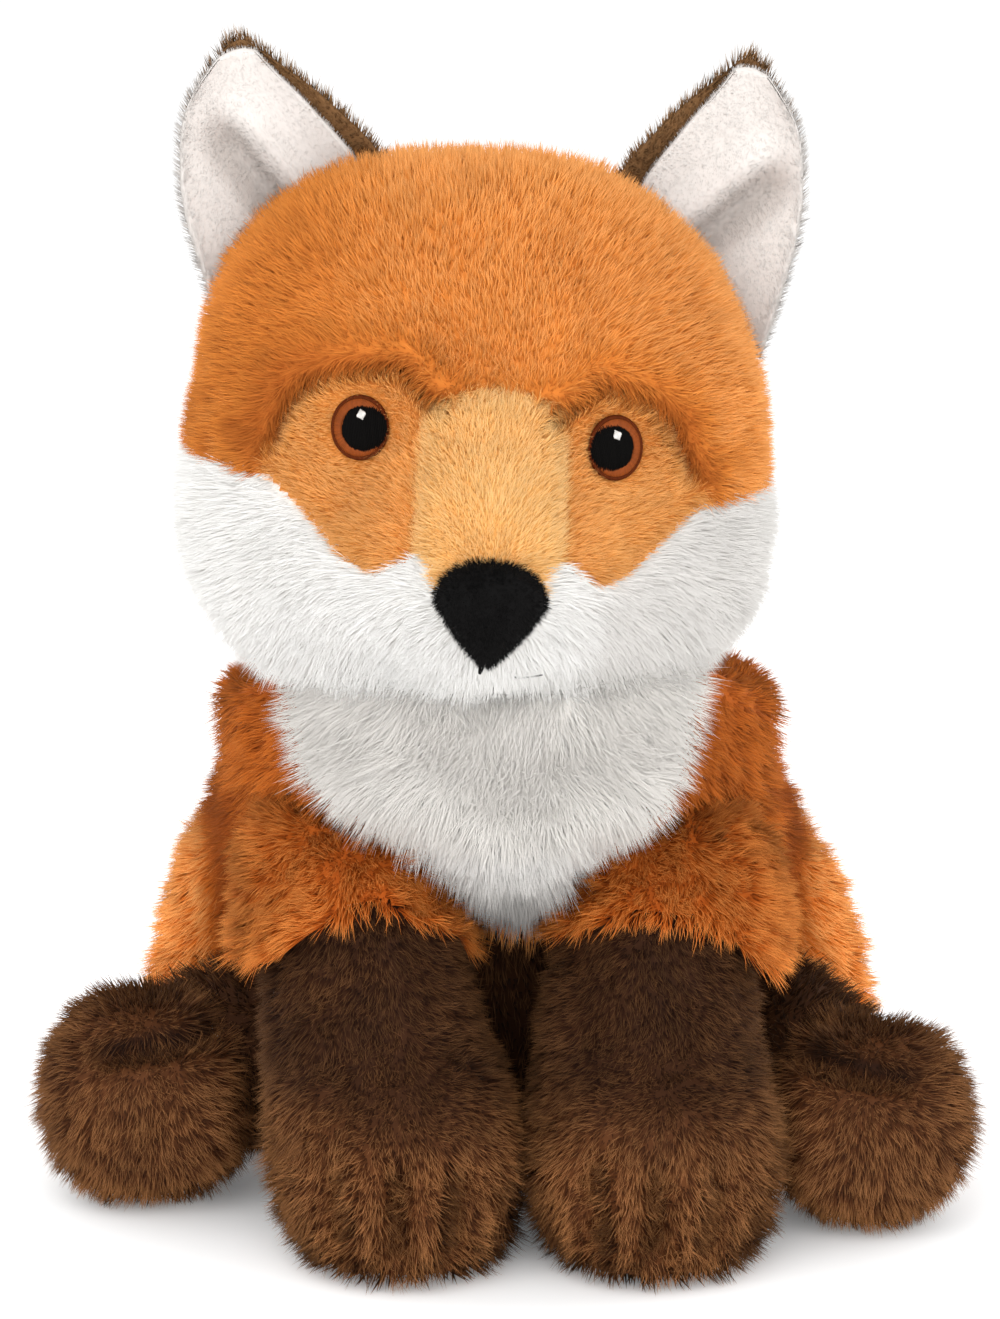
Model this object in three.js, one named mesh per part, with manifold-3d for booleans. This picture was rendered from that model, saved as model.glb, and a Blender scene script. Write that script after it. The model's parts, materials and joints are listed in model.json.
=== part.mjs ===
// A sitting plush fox: sewn pile fabric over stuffing, in millimetres.
// +Z is up, the fox looks along -Y, and it sits on the plane z = 0.
import * as THREE from "three";
import { mergeVertices } from "three/addons/utils/BufferGeometryUtils.js";
import Module from "manifold-3d";

const wasm = await Module();
wasm.setup();

// Cloth and fit
const seamGap = 0.3; // between neighbouring pieces
const skinThickness = 5; // fabric with its pressed pile
const swingClearance = 0.4; // between a limb and what it turns against
const floorCut = 0.5; // how deep a soft form is pressed flat where it sits
const overrun = 60; // how far a cutting shape runs past what it cuts
const sweepStep = THREE.MathUtils.degToRad(8);

// Torso
const torsoHeight = 143; // floor to neck seam
const torsoHalfWidth = 96;
const torsoFront = 63; // from the upright axis to the chest
const torsoBack = 84; // from the upright axis to the rump
const torsoAside = 2.5; // the seat lies slightly right of the axis
const torsoLean = 5; // and the neck leans back to the left by this much
const torsoSquareness = 2.35;
const torsoSeatSquareness = 6; // of the roundness where it sits
const torsoTopSquareness = 3.6; // and under the head
const neckRadius = 18;
const bibHalfWidth = 57;
const bibDrop = 64; // neck seam to the point of the bib
const panelBackShare = 1 / 8; // how far behind the widest line a front panel ends
const bagHalfWidth = 52;
const bagHalfDepth = 30;
const bagHeight = 28;

// Head
const headHalfWidth = 72;
const headHalfDepth = 58;
const headHalfHeight = 67;
const headSquareness = 2.5;
const headForward = 28; // head centre in front of the upright axis
const headAside = 5; // and beside it
const headSink = 4; // how far the neck seam presses into the head
const headRoll = THREE.MathUtils.degToRad(4);
const headYaw = THREE.MathUtils.degToRad(2);
const muzzleLength = 29;
const cheekPuff = 8;
const jawPuff = 6;
const browPuff = 3;
const eyeHollow = 4;

// Eyes, nose and threads
const irisRadius = 6.9;
const pupilRadius = 5.5;
const glintRadius = 1.35;
const eyeThickness = 2.4;
const glintThickness = 0.8;
const noseHalfWidth = 13.6;
const noseHalfHeight = 13;
const noseHalfDepth = 9;
const noseSink = 4; // how deep the pad sits in the muzzle
const noseSquareness = 2.35;
const noseHighShare = -0.51;
const noseNarrowingShares = { middle: 0.92, slope: 0.42 };
const eyeShares = { wide: 0.43, high: 0.055 };
const threadRadius = 0.6;
const threadSquareness = 6;

// Ears
const earHeight = 52; // middle of the base to the tip
const earHalfBase = 27;
const earCup = 10; // depth of the hollow
const earBackThickness = 3.6;
const earLiningThickness = 3;
const earRim = 7; // bare edge of the back beside the lining
const earReach = THREE.MathUtils.degToRad(8);
const earFoldShares = { across: 0.8, down: 0.6 }; // the line that an ear bends about

// Forelegs
const forelegHeight = 116;
const forelegHalfWidth = 33;
const forelegHalfDepth = 31;
const forelegApart = 36; // from the middle of the body to the middle of a leg
const forelegForward = 42; // leg in front of the upright axis at the shoulder
const forelegSquareness = 4;
const forelegSeamShares = { forward: 0.93, high: 0.96 }; // where the shoulder seam bends
const pawForward = 24; // paw in front of the shoulder
const leftPawDrift = 8; // how far each paw drifts right on its way down
const rightPawDrift = 1;
const pawMeeting = 5; // the paws press on each other at this place beside the axis
const forelegReach = THREE.MathUtils.degToRad(40);
const hemHeight = 68;
const hemArch = 18;

// Hind legs
const hindlegRadius = 26;
const footHalfWidth = 29;
const footHalfDepth = 27;
const footHalfHeight = 28.5;
const rightFootShare = 0.95; // the right foot is the smaller one
const hipApart = 58;
const hipBack = 6;
const hipHeight = 38;
const hipSeamShares = { apart: 1.45, back: 2 }; // where the hip seam bends
const ankleShare = 0.45; // of the way from the hip to the foot
const shankSquareness = 3.6;
const footSquareness = 2.3;
const footApart = 92;
const leftFootForward = 15;
const rightFootForward = 33;
const hindlegReach = THREE.MathUtils.degToRad(15);

// Tail
const tailRadius = 25;
const tailLength = 118;
const tailBaseHeight = 32;
const tailSquareness = 3.2;
const tailSeamShare = 0.97; // of the torso's back, where the tail bends
const tailTipShare = 0.48; // of its length, where the white tip starts
const tailRestShare = 0.6; // of its girth, the least height of its spine
const tailReach = THREE.MathUtils.degToRad(20);

// Mesh fineness, around and along
const fineCounts = {
  head: [26, 16], torso: [24, 12], limb: [13, 10], shank: [12, 6], foot: [13, 8],
  nose: [12, 7], thread: [5, 7],
};
const coarseCounts = { head: [16, 10], torso: [20, 11], limb: [10, 8], shank: [8, 5], foot: [9, 6] };
const earCounts = [6, 5];
const discSides = 14;
const faceRounds = 40; // to find a place on the face
const faceStepShare = 0.05; // between two places that give its slope

const xAxis = new THREE.Vector3(1, 0, 0);
const zAxis = new THREE.Vector3(0, 0, 1);
const spot = (x, y, z) => new THREE.Vector3(x, y, z);

// Turns a closed geometry into a solid that can be joined and cut
function toSolid(geometry) {
  const bare = new THREE.BufferGeometry();
  bare.setAttribute("position", geometry.getAttribute("position").clone());
  bare.setIndex(geometry.getIndex());
  const merged = mergeVertices(bare);
  return new wasm.Manifold(new wasm.Mesh({
    numProp: 3,
    vertProperties: new Float32Array(merged.getAttribute("position").array),
    triVerts: new Uint32Array(merged.getIndex().array),
  }));
}

function toGeometry(solid) {
  const mesh = solid.getMesh();
  const geometry = new THREE.BufferGeometry();
  geometry.setAttribute("position", new THREE.Float32BufferAttribute(mesh.vertProperties, 3));
  geometry.setIndex(Array.from(mesh.triVerts));
  return geometry;
}

// A skin from pole to pole: point(u, v) gives a place, u once around and v along
function closedSkin(point, around, along) {
  const spots = [point(0, 0)];
  for (let j = 1; j < along; j++) {
    for (let i = 0; i < around; i++) spots.push(point(i / around, j / along));
  }
  spots.push(point(0, 1));
  const last = spots.length - 1;
  const at = (i, j) => 1 + (j - 1) * around + (i % around);
  const faces = [];
  for (let i = 0; i < around; i++) {
    faces.push(0, at(i + 1, 1), at(i, 1), last, at(i, along - 1), at(i + 1, along - 1));
    for (let j = 1; j < along - 1; j++) {
      faces.push(at(i, j), at(i + 1, j), at(i + 1, j + 1), at(i, j), at(i + 1, j + 1), at(i, j + 1));
    }
  }
  const geometry = new THREE.BufferGeometry();
  geometry.setAttribute("position", new THREE.Float32BufferAttribute(spots.flatMap((p) => p.toArray()), 3));
  geometry.setIndex(faces);
  return geometry;
}

// The same skin moved outward along its normals, or inward for a negative amount
function swollen(geometry, amount) {
  const moved = geometry.clone();
  moved.computeVertexNormals();
  const place = moved.getAttribute("position");
  const normal = moved.getAttribute("normal");
  for (let i = 0; i < place.count; i++) {
    const next = spot(normal.getX(i), normal.getY(i), normal.getZ(i)).multiplyScalar(amount);
    place.setXYZ(i, place.getX(i) + next.x, place.getY(i) + next.y, place.getZ(i) + next.z);
  }
  return moved;
}

// How wide a form still is at share t of its length, when its ends are round
const roundEnd = (t, squareness) => Math.pow(1 - Math.pow(Math.abs(2 * t - 1), squareness), 1 / squareness);

// The radius of a rounded box in one direction
const boxRadius = (ahead, a, b, c, squareness) => Math.pow(
  Math.pow(Math.abs(ahead.x) / a, squareness) + Math.pow(Math.abs(ahead.y) / b, squareness)
  + Math.pow(Math.abs(ahead.z) / c, squareness), -1 / squareness);

// A stuffed tube through stations of a centre and two half widths
function stuffedTube(stations, side, squareness) {
  const spine = new THREE.CatmullRomCurve3(stations.map((s) => s.centre));
  const girth = new THREE.CatmullRomCurve3(stations.map((s) => spot(s.halfWidth, s.halfDepth, 0)));
  return (around, along) => closedSkin((u, v) => {
    const t = (1 - Math.cos(Math.PI * v)) / 2;
    const cap = roundEnd(t, squareness);
    const ahead = spine.getTangent(t);
    const across = side.clone().addScaledVector(ahead, -side.dot(ahead)).normalize();
    const up = new THREE.Vector3().crossVectors(ahead, across);
    const reach = girth.getPoint(t);
    const turn = 2 * Math.PI * u;
    return spine.getPoint(t)
      .addScaledVector(across, reach.x * cap * Math.cos(turn))
      .addScaledVector(up, reach.y * cap * Math.sin(turn));
  }, around, along);
}

// A stuffed ball whose radius follows the direction, with its poles in front and behind
function stuffedBall(radius) {
  return (around, along) => closedSkin((u, v) => {
    const turn = -2 * Math.PI * u;
    const dip = Math.PI * v;
    const ahead = spot(Math.cos(turn) * Math.sin(dip), -Math.cos(dip), Math.sin(turn) * Math.sin(dip));
    return ahead.clone().multiplyScalar(radius(ahead));
  }, around, along);
}

// The outer form, the hollow inside its skin, and the stuffing that fills the hollow
function stuffed(form, outerFineness, innerFineness) {
  const outer = form(...outerFineness);
  const inner = form(...innerFineness);
  return {
    outer: toSolid(outer),
    grown: toSolid(swollen(outer, swingClearance)),
    hollow: toSolid(swollen(inner, -skinThickness)),
    core: toSolid(swollen(inner, -skinThickness - seamGap)),
  };
}

// A box between two corners
function block(low, high) {
  const size = high.clone().sub(low);
  const middle = low.clone().add(high).multiplyScalar(0.5);
  return toSolid(new THREE.BoxGeometry(size.x, size.y, size.z).translate(middle.x, middle.y, middle.z));
}
const far = torsoHeight + 2 * headHalfHeight + earHeight + torsoBack + tailLength + overrun;
const above = (height) => block(spot(-far, -far, height), spot(far, far, far + height));
const below = (height) => block(spot(-far, -far, height - far), spot(far, far, height));
const rightOf = (x) => block(spot(x, -far, -far), spot(x + far, far, far));
const leftOf = (x) => block(spot(x - far, -far, -far), spot(x, far, far));

// A round bar along z between two heights
const upright = (radius, low, high, sides) => toSolid(
  new THREE.CylinderGeometry(radius, radius, high - low, sides)
    .rotateX(Math.PI / 2).translate(0, 0, (low + high) / 2));

// An outline seen from the front, pushed along y from one depth to another
function frontPrism(outline, yFrom, yTo) {
  const shape = new THREE.Shape(outline.map(([x, z]) => new THREE.Vector2(x, z)));
  const prism = new THREE.ExtrudeGeometry(shape, { depth: yTo - yFrom, bevelEnabled: false });
  return toSolid(prism.rotateX(Math.PI / 2).translate(0, yTo, 0));
}

// A half outline, from its middle outward, joined to its mirror image
const mirrored = (half) => [...half, ...half.filter(([x]) => x !== 0).reverse().map(([x, z]) => [-x, z])];

// A closed outline with every corner moved outward, for the gap of a seam
function grownOutline(outline, amount) {
  const area = outline.reduce((sum, [x, z], i) => {
    const [nextX, nextZ] = outline[(i + 1) % outline.length];
    return sum + x * nextZ - nextX * z;
  }, 0);
  const way = Math.sign(area) * amount;
  return outline.map(([x, z], i) => {
    const [beforeX, beforeZ] = outline[(i + outline.length - 1) % outline.length];
    const [afterX, afterZ] = outline[(i + 1) % outline.length];
    const along = new THREE.Vector2(afterX - beforeX, afterZ - beforeZ).normalize();
    return [x + way * along.y, z - way * along.x];
  });
}

const placed = (solid, matrix) => solid.transform(matrix.toArray());
const shifted = (solid, place) => solid.translate(place.toArray());

// Every place that a solid takes as it turns about a line through a pivot
function swept(solid, pivot, axis, from, to) {
  const steps = Math.ceil((to - from) / sweepStep);
  let all = solid;
  for (let i = 0; i <= steps; i++) {
    const turn = new THREE.Matrix4().makeTranslation(pivot)
      .multiply(new THREE.Matrix4().makeRotationAxis(axis, from + (to - from) * i / steps))
      .multiply(new THREE.Matrix4().makeTranslation(pivot.clone().negate()));
    all = all.add(placed(solid, turn));
  }
  return all;
}

// The largest of the bodies that a cut leaves
function largest(solid) {
  return solid.decompose().reduce((best, body) => (body.volume() > best.volume() ? body : best));
}

const cloth = (colour, roughness = 0.95) => new THREE.MeshStandardMaterial({
  color: colour, roughness, metalness: 0 });
const orangePile = cloth(0xcf7a30);
const facePile = cloth(0xe3a362);
const whitePile = cloth(0xf0eeec);
const brownPile = cloth(0x3a2517);
const earPile = cloth(0x6b4a2c);
const fill = cloth(0xf7f5ef);
const bagCloth = cloth(0xd8d2c4);
const noseVelour = cloth(0x111111);
const irisThread = cloth(0x9c4f22, 0.5);
const blackThread = cloth(0x0b0b0b, 0.4);
const whiteThread = cloth(0xffffff, 0.4);

const plushFox = new THREE.Group();

// A group that carries the pieces of one moving body, at its pivot
function carrier(parent, pivot) {
  const group = new THREE.Group();
  group.position.copy(parent.worldToLocal(pivot.clone()));
  parent.add(group);
  group.updateWorldMatrix(true, false);
  return group;
}

function addPiece(group, name, solid, material) {
  const local = placed(solid, group.matrixWorld.clone().invert());
  const mesh = new THREE.Mesh(toGeometry(local), material);
  mesh.name = name;
  group.add(mesh);
}

// Torso: height, half width, front and back of each station, as shares
const torsoShares = [
  [-0.10, 0.80, -0.10, 0.86],
  [0.04, 0.93, 0.05, 0.98],
  [0.20, 1.00, 0.18, 1.00],
  [0.38, 0.98, 0.24, 1.00],
  [0.54, 0.92, 0.40, 0.92],
  [0.68, 0.82, 0.76, 0.80],
  [0.82, 0.79, 1.00, 0.64],
  [0.92, 0.80, 1.00, 0.50],
  [0.985, 0.77, 0.94, 0.36],
  [1.02, 0.70, 0.86, 0.24],
];
function torsoForm(around, along) {
  const width = new THREE.CatmullRomCurve3(torsoShares.map(([height, wide]) => spot(
    wide * torsoHalfWidth, 0, height * torsoHeight)));
  const depth = new THREE.CatmullRomCurve3(torsoShares.map(([, , front, back]) => spot(
    -front * torsoFront, back * torsoBack, 0)));
  return closedSkin((u, v) => {
    const t = (1 - Math.cos(Math.PI * v)) / 2;
    const cap = roundEnd(t, t < 0.5 ? torsoSeatSquareness : torsoTopSquareness);
    const wide = width.getPoint(t);
    const deep = depth.getPoint(t);
    const turn = 2 * Math.PI * u;
    const ahead = spot(Math.cos(turn), Math.sin(turn), 0);
    const reach = boxRadius(ahead, wide.x, (deep.y - deep.x) / 2, torsoHeight, torsoSquareness) * cap;
    const aside = torsoAside - torsoLean * wide.z / torsoHeight;
    return spot(aside + ahead.x * reach, (deep.x + deep.y) / 2 + ahead.y * reach, wide.z);
  }, around, along);
}
const torso = stuffed(torsoForm, fineCounts.torso, coarseCounts.torso);
const neckSeam = spot(-headAside, -headForward, torsoHeight);
const neckHole = shifted(upright(neckRadius, -overrun, overrun, discSides), neckSeam);
const torsoSkin = torso.outer.subtract(torso.hollow.subtract(below(skinThickness)))
  .subtract(below(0)).subtract(above(torsoHeight - seamGap / 2)).subtract(neckHole);

// The bib seen from the front: half width and drop below the neck seam, as shares
const bibShares = [
  [0.0, 1.0], [0.14, 0.92], [0.24, 0.80], [0.36, 0.70], [0.50, 0.635], [0.68, 0.57], [0.84, 0.47],
  [0.95, 0.33], [1.0, 0.18], [0.97, 0.02], [0.94, -0.3],
];
const bibOutline = mirrored(bibShares.map(([wide, drop]) => [
  wide * bibHalfWidth, torsoHeight - drop * bibDrop])).map(([x, z]) => [x + torsoAside - torsoLean / 2, z]);
const bibBack = -torsoFront * panelBackShare;
addPiece(plushFox, "chest_bib",
  largest(torsoSkin.intersect(frontPrism(bibOutline, -torsoFront - overrun, bibBack))), whitePile);
addPiece(plushFox, "torso_skin", largest(torsoSkin.subtract(
  frontPrism(grownOutline(bibOutline, seamGap), -torsoFront - overrun, bibBack + seamGap))), orangePile);

// Stuffing, with a bag of pellets in the seat and a short column through the neck
const bagMiddle = spot(torsoAside, torsoBack / 2, skinThickness + seamGap);
const bagRadius = (grow) => (ahead) => boxRadius(
  ahead, bagHalfWidth + grow, bagHalfDepth + grow, bagHeight + grow, torsoSquareness);
const bag = (grow) => shifted(toSolid(stuffedBall(bagRadius(grow))(...coarseCounts.limb)), bagMiddle);
const coreBottom = skinThickness + seamGap;
addPiece(plushFox, "torso_stuffing", torso.core.subtract(below(coreBottom))
  .subtract(above(torsoHeight - skinThickness)).subtract(bag(seamGap)), fill);
addPiece(plushFox, "pellet_bag", bag(0).subtract(below(coreBottom)), bagCloth);
const neckFlat = neckRadius * Math.cos(Math.PI / discSides); // the neck hole is this wide across its sides
addPiece(plushFox, "neck_stuffing", shifted(upright(neckFlat - swingClearance,
  seamGap - skinThickness, skinThickness - seamGap, discSides), neckSeam), fill);

// Head: a rounded box with puffs, each with its direction, height and spread
const puffs = [
  [spot(0, -0.93, -0.40), muzzleLength, 0.34],
  [spot(0.80, -0.45, -0.42), cheekPuff, 0.32],
  [spot(-0.80, -0.45, -0.42), cheekPuff, 0.32],
  [spot(0.70, -0.30, -0.75), jawPuff, 0.28],
  [spot(-0.70, -0.30, -0.75), jawPuff, 0.28],
  [spot(0.40, -0.86, 0.32), browPuff, 0.22],
  [spot(-0.40, -0.86, 0.32), browPuff, 0.22],
  [spot(0.46, -0.90, 0.02), -eyeHollow, 0.17],
  [spot(-0.46, -0.90, 0.02), -eyeHollow, 0.17],
];
for (const [way] of puffs) way.normalize();
const headRadius = (ahead) => puffs.reduce(
  (sum, [way, height, spread]) => sum
    + height * Math.exp(-ahead.distanceToSquared(way) / (2 * spread * spread)),
  boxRadius(ahead, headHalfWidth, headHalfDepth, headHalfHeight, headSquareness));
const headTurn = carrier(plushFox, neckSeam);
const headGroup = new THREE.Group();
headGroup.position.set(0, 0, headHalfHeight - headSink);
headGroup.rotation.set(0, headRoll, headYaw);
headTurn.add(headGroup);
headGroup.updateWorldMatrix(true, false);
const headPlace = headGroup.matrixWorld;
const inHead = (solid) => placed(solid, headPlace.clone().invert());
const head = stuffed(stuffedBall(headRadius), fineCounts.head, coarseCounts.head);

// The place on the face at shares of the half width and half height
function onFace(wide, high, lift = 0) {
  const aim = spot(wide * headHalfWidth, -headHalfDepth, high * headHalfHeight);
  for (let i = 0; i < faceRounds; i++) {
    const reach = headRadius(aim.clone().normalize());
    aim.y = -Math.sqrt(reach * reach - aim.x * aim.x - aim.z * aim.z);
  }
  return aim.addScaledVector(aim.clone().normalize(), lift);
}
function faceNormal(wide, high) {
  const across = onFace(wide + faceStepShare, high).sub(onFace(wide - faceStepShare, high));
  const rise = onFace(wide, high + faceStepShare).sub(onFace(wide, high - faceStepShare));
  return new THREE.Vector3().crossVectors(across, rise).normalize();
}

// Nose pad: a velour triangle with a domed front
function nosePad(grow) {
  const form = stuffedBall((ahead) => boxRadius(
    ahead, noseHalfWidth + grow, noseHalfDepth + grow, noseHalfHeight + grow, noseSquareness));
  const geometry = form(...fineCounts.nose);
  const place = geometry.getAttribute("position");
  for (let i = 0; i < place.count; i++) {
    const narrowing = noseNarrowingShares.middle + noseNarrowingShares.slope * place.getZ(i) / noseHalfHeight;
    place.setX(i, place.getX(i) * Math.min(narrowing, 1));
  }
  return shifted(toSolid(geometry), onFace(0, noseHighShare, -noseSink));
}

// The mouth is a thread pulled half into the pile below the nose
const mouthShares = [[-0.06, -0.80], [0.04, -0.81], [0.12, -0.81], [0.20, -0.79]];
function mouthThread(grow) {
  const stations = mouthShares.map(([wide, high]) => ({
    centre: onFace(wide, high), halfWidth: threadRadius + grow, halfDepth: threadRadius + grow,
  }));
  return toSolid(stuffedTube(stations, xAxis, threadSquareness)(...fineCounts.thread));
}

// Seams of the face seen from the front: half width and half height shares, from the middle outward
const bridgeShares = [[0, -0.7], [0.27, -0.7], [0.275, -0.31], [0.27, 0.22], [0.14, 0.25], [0, 0.26]];
const eyePanelShares = [
  [0.2, 0.20], [0.29, 0.26], [0.34, 0.32], [0.42, 0.30], [0.52, 0.26], [0.60, 0.19], [0.64, 0.08],
  [0.68, -0.04], [0.72, -0.12], [0.74, -0.3], [0.5, -0.5], [0.2, -0.5],
];
const lowerFaceShares = [
  [0, -0.43], [0.20, -0.43], [0.24, -0.33], [0.27, -0.31], [0.34, -0.36], [0.40, -0.41], [0.49, -0.36],
  [0.56, -0.28], [0.65, -0.19], [0.71, -0.14], [0.84, -0.13], [1.0, -0.14], [1.4, -0.14], [1.4, -1.4],
];
const onHead = ([wide, high]) => [wide * headHalfWidth, high * headHalfHeight];
const faceFront = -headHalfDepth - muzzleLength - overrun;
const cheekBack = headHalfDepth * panelBackShare;
const lowerFaceOutline = mirrored(lowerFaceShares.map(onHead));
const bridgeOutline = mirrored(bridgeShares.map(onHead)).filter(([x], i) => i > 0 || x !== 0);
const lowerFace = frontPrism(lowerFaceOutline, faceFront, cheekBack);
const lowerFaceGrown = frontPrism(grownOutline(lowerFaceOutline, seamGap), faceFront, cheekBack + seamGap);
const bridge = frontPrism(bridgeOutline, faceFront, 0);
const bridgeGrown = frontPrism(grownOutline(bridgeOutline, seamGap), faceFront, seamGap);

const underNeck = inHead(below(torsoHeight + seamGap / 2));
const headSkin = head.outer.subtract(head.hollow).subtract(underNeck).subtract(inHead(neckHole))
  .subtract(nosePad(seamGap));
const whiteSkin = headSkin.intersect(lowerFace).subtract(mouthThread(seamGap));
const upperSkin = headSkin.subtract(lowerFaceGrown);
let crown = upperSkin.subtract(bridgeGrown);
const inWorld = (solid) => placed(solid, headPlace);
addPiece(headGroup, "muzzle_bridge", inWorld(largest(upperSkin.intersect(bridge))), facePile);
addPiece(headGroup, "nose_pad", inWorld(nosePad(0).subtract(head.core)), noseVelour);
addPiece(headGroup, "mouth_thread", inWorld(mouthThread(0)), blackThread);
addPiece(headGroup, "head_stuffing", inWorld(head.core.subtract(nosePad(seamGap))
  .subtract(inHead(below(torsoHeight + skinThickness)))), fill);
for (const [side, way] of [["left", -1], ["right", 1]]) {
  const cheekHalf = way < 0 ? leftOf(-seamGap / 2) : rightOf(seamGap / 2);
  addPiece(headGroup, `cheek_${side}`, inWorld(largest(whiteSkin.intersect(cheekHalf))), whitePile);

  // The eye is embroidered: an iris round a pupil, with a stitched glint
  const eyeOutline = eyePanelShares.map(onHead).map(([x, z]) => [way * x, z]);
  const eyePlace = [way * eyeShares.wide, eyeShares.high];
  const facing = new THREE.Matrix4().compose(onFace(...eyePlace),
    new THREE.Quaternion().setFromUnitVectors(zAxis, faceNormal(...eyePlace)), spot(1, 1, 1));
  const disc = (radius, low, high) => placed(upright(radius, low, high, discSides), facing);
  const glintPlace = facing.clone().multiply(new THREE.Matrix4().makeTranslation(
    0, pupilRadius / 2, 0));
  const glint = (grow) => placed(upright(glintRadius + grow, -glintThickness - grow, overrun * grow,
    discSides), glintPlace);
  const socket = disc(irisRadius + seamGap, -eyeThickness - seamGap, overrun / 2);
  addPiece(headGroup, `iris_${side}`, inWorld(disc(irisRadius, -eyeThickness, 0)
    .subtract(disc(pupilRadius + seamGap, -overrun / 2, overrun / 2))), irisThread);
  addPiece(headGroup, `pupil_${side}`, inWorld(disc(pupilRadius, -eyeThickness, 0)
    .subtract(glint(seamGap))), blackThread);
  addPiece(headGroup, `glint_${side}`, inWorld(glint(0)), whiteThread);
  const eyePanel = crown.intersect(frontPrism(eyeOutline, faceFront, 0)).subtract(socket);
  addPiece(headGroup, `eye_panel_${side}`, inWorld(largest(eyePanel)), facePile);
  crown = crown.subtract(frontPrism(grownOutline(eyeOutline, seamGap), faceFront, seamGap));
}
addPiece(headGroup, "head_crown", inWorld(largest(crown)), orangePile);

// Ears: a cupped back with a lining, in their own frame with x outward and z to the tip
const earEdgeShares = {
  inner: [[-0.95, -0.20], [-0.78, 0.35], [-0.25, 0.72], [0.40, 1.0]],
  outer: [[0.70, -0.45], [1.0, 0.12], [0.97, 0.45], [0.56, 1.0]],
};
const edge = (shares) => new THREE.SplineCurve(shares.map(([x, z]) => new THREE.Vector2(
  x * earHalfBase, z * earHeight)));
const innerEdge = edge(earEdgeShares.inner);
const outerEdge = edge(earEdgeShares.outer);
function earPoint(u, v, depth) {
  const from = innerEdge.getPoint(v);
  const to = outerEdge.getPoint(v);
  const hollow = earCup * Math.sin(Math.PI * u) * (1 - v * v);
  return spot(from.x + (to.x - from.x) * u, hollow + depth, from.y + (to.y - from.y) * u);
}

// A curved plate with even walls: u and v run over the sheet, the depths are its two faces
function plate(uFrom, uTo, vFrom, vTo, front, back) {
  const [columns, rows] = earCounts;
  const spots = [];
  for (const depth of [front, back]) {
    for (let j = 0; j <= rows; j++) {
      for (let i = 0; i <= columns; i++) {
        spots.push(earPoint(uFrom + (uTo - uFrom) * i / columns, vFrom + (vTo - vFrom) * j / rows, depth));
      }
    }
  }
  const layer = (columns + 1) * (rows + 1);
  const at = (i, j, deep) => deep * layer + j * (columns + 1) + i;
  const faces = [];
  const quad = (a, b, c, d) => faces.push(a, b, c, a, c, d);
  for (let j = 0; j < rows; j++) {
    for (let i = 0; i < columns; i++) {
      quad(at(i, j, 0), at(i + 1, j, 0), at(i + 1, j + 1, 0), at(i, j + 1, 0));
      quad(at(i, j + 1, 1), at(i + 1, j + 1, 1), at(i + 1, j, 1), at(i, j, 1));
    }
    quad(at(0, j, 1), at(0, j, 0), at(0, j + 1, 0), at(0, j + 1, 1));
    quad(at(columns, j, 0), at(columns, j, 1), at(columns, j + 1, 1), at(columns, j + 1, 0));
  }
  for (let i = 0; i < columns; i++) {
    quad(at(i, 0, 1), at(i + 1, 0, 1), at(i + 1, 0, 0), at(i, 0, 0));
    quad(at(i, rows, 0), at(i + 1, rows, 0), at(i + 1, rows, 1), at(i, rows, 1));
  }
  const geometry = new THREE.BufferGeometry();
  geometry.setAttribute("position", new THREE.Float32BufferAttribute(spots.flatMap((p) => p.toArray()), 3));
  geometry.setIndex(faces);
  return toSolid(geometry);
}
const rimShare = earRim / (2 * earHalfBase);
const earBack = plate(0, 1, 0, 1, 0, earBackThickness);
const earLining = plate(rimShare, 1 - rimShare / 6, 0, 1 - rimShare, -seamGap - earLiningThickness, 0)
  .subtract(shifted(earBack, spot(0, -seamGap, 0)));
const earSeatShares = { left: [-0.71, 0.60, 0.05], right: [0.70, 0.63, 0.05] };
for (const [side, way] of [["left", -1], ["right", 1]]) {
  const [wide, high, back] = earSeatShares[side];
  const seat = spot(wide * headHalfWidth, back * headHalfDepth, high * headHalfHeight);
  const ear = carrier(headTurn, seat.applyMatrix4(headPlace));
  const mirror = new THREE.Matrix4().makeScale(way, 1, 1);
  const place = new THREE.Matrix4().makeTranslation(ear.getWorldPosition(spot(0, 0, 0))).multiply(mirror);
  const baseLine = spot(way * earFoldShares.across, 0, -earFoldShares.down);
  const room = swept(inWorld(head.grown), ear.getWorldPosition(spot(0, 0, 0)), baseLine, -earReach, earReach);
  addPiece(ear, `ear_back_${side}`, largest(placed(earBack, place).subtract(room)), earPile);
  addPiece(ear, `ear_lining_${side}`, largest(placed(earLining, place).subtract(room)), whitePile);
}

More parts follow.
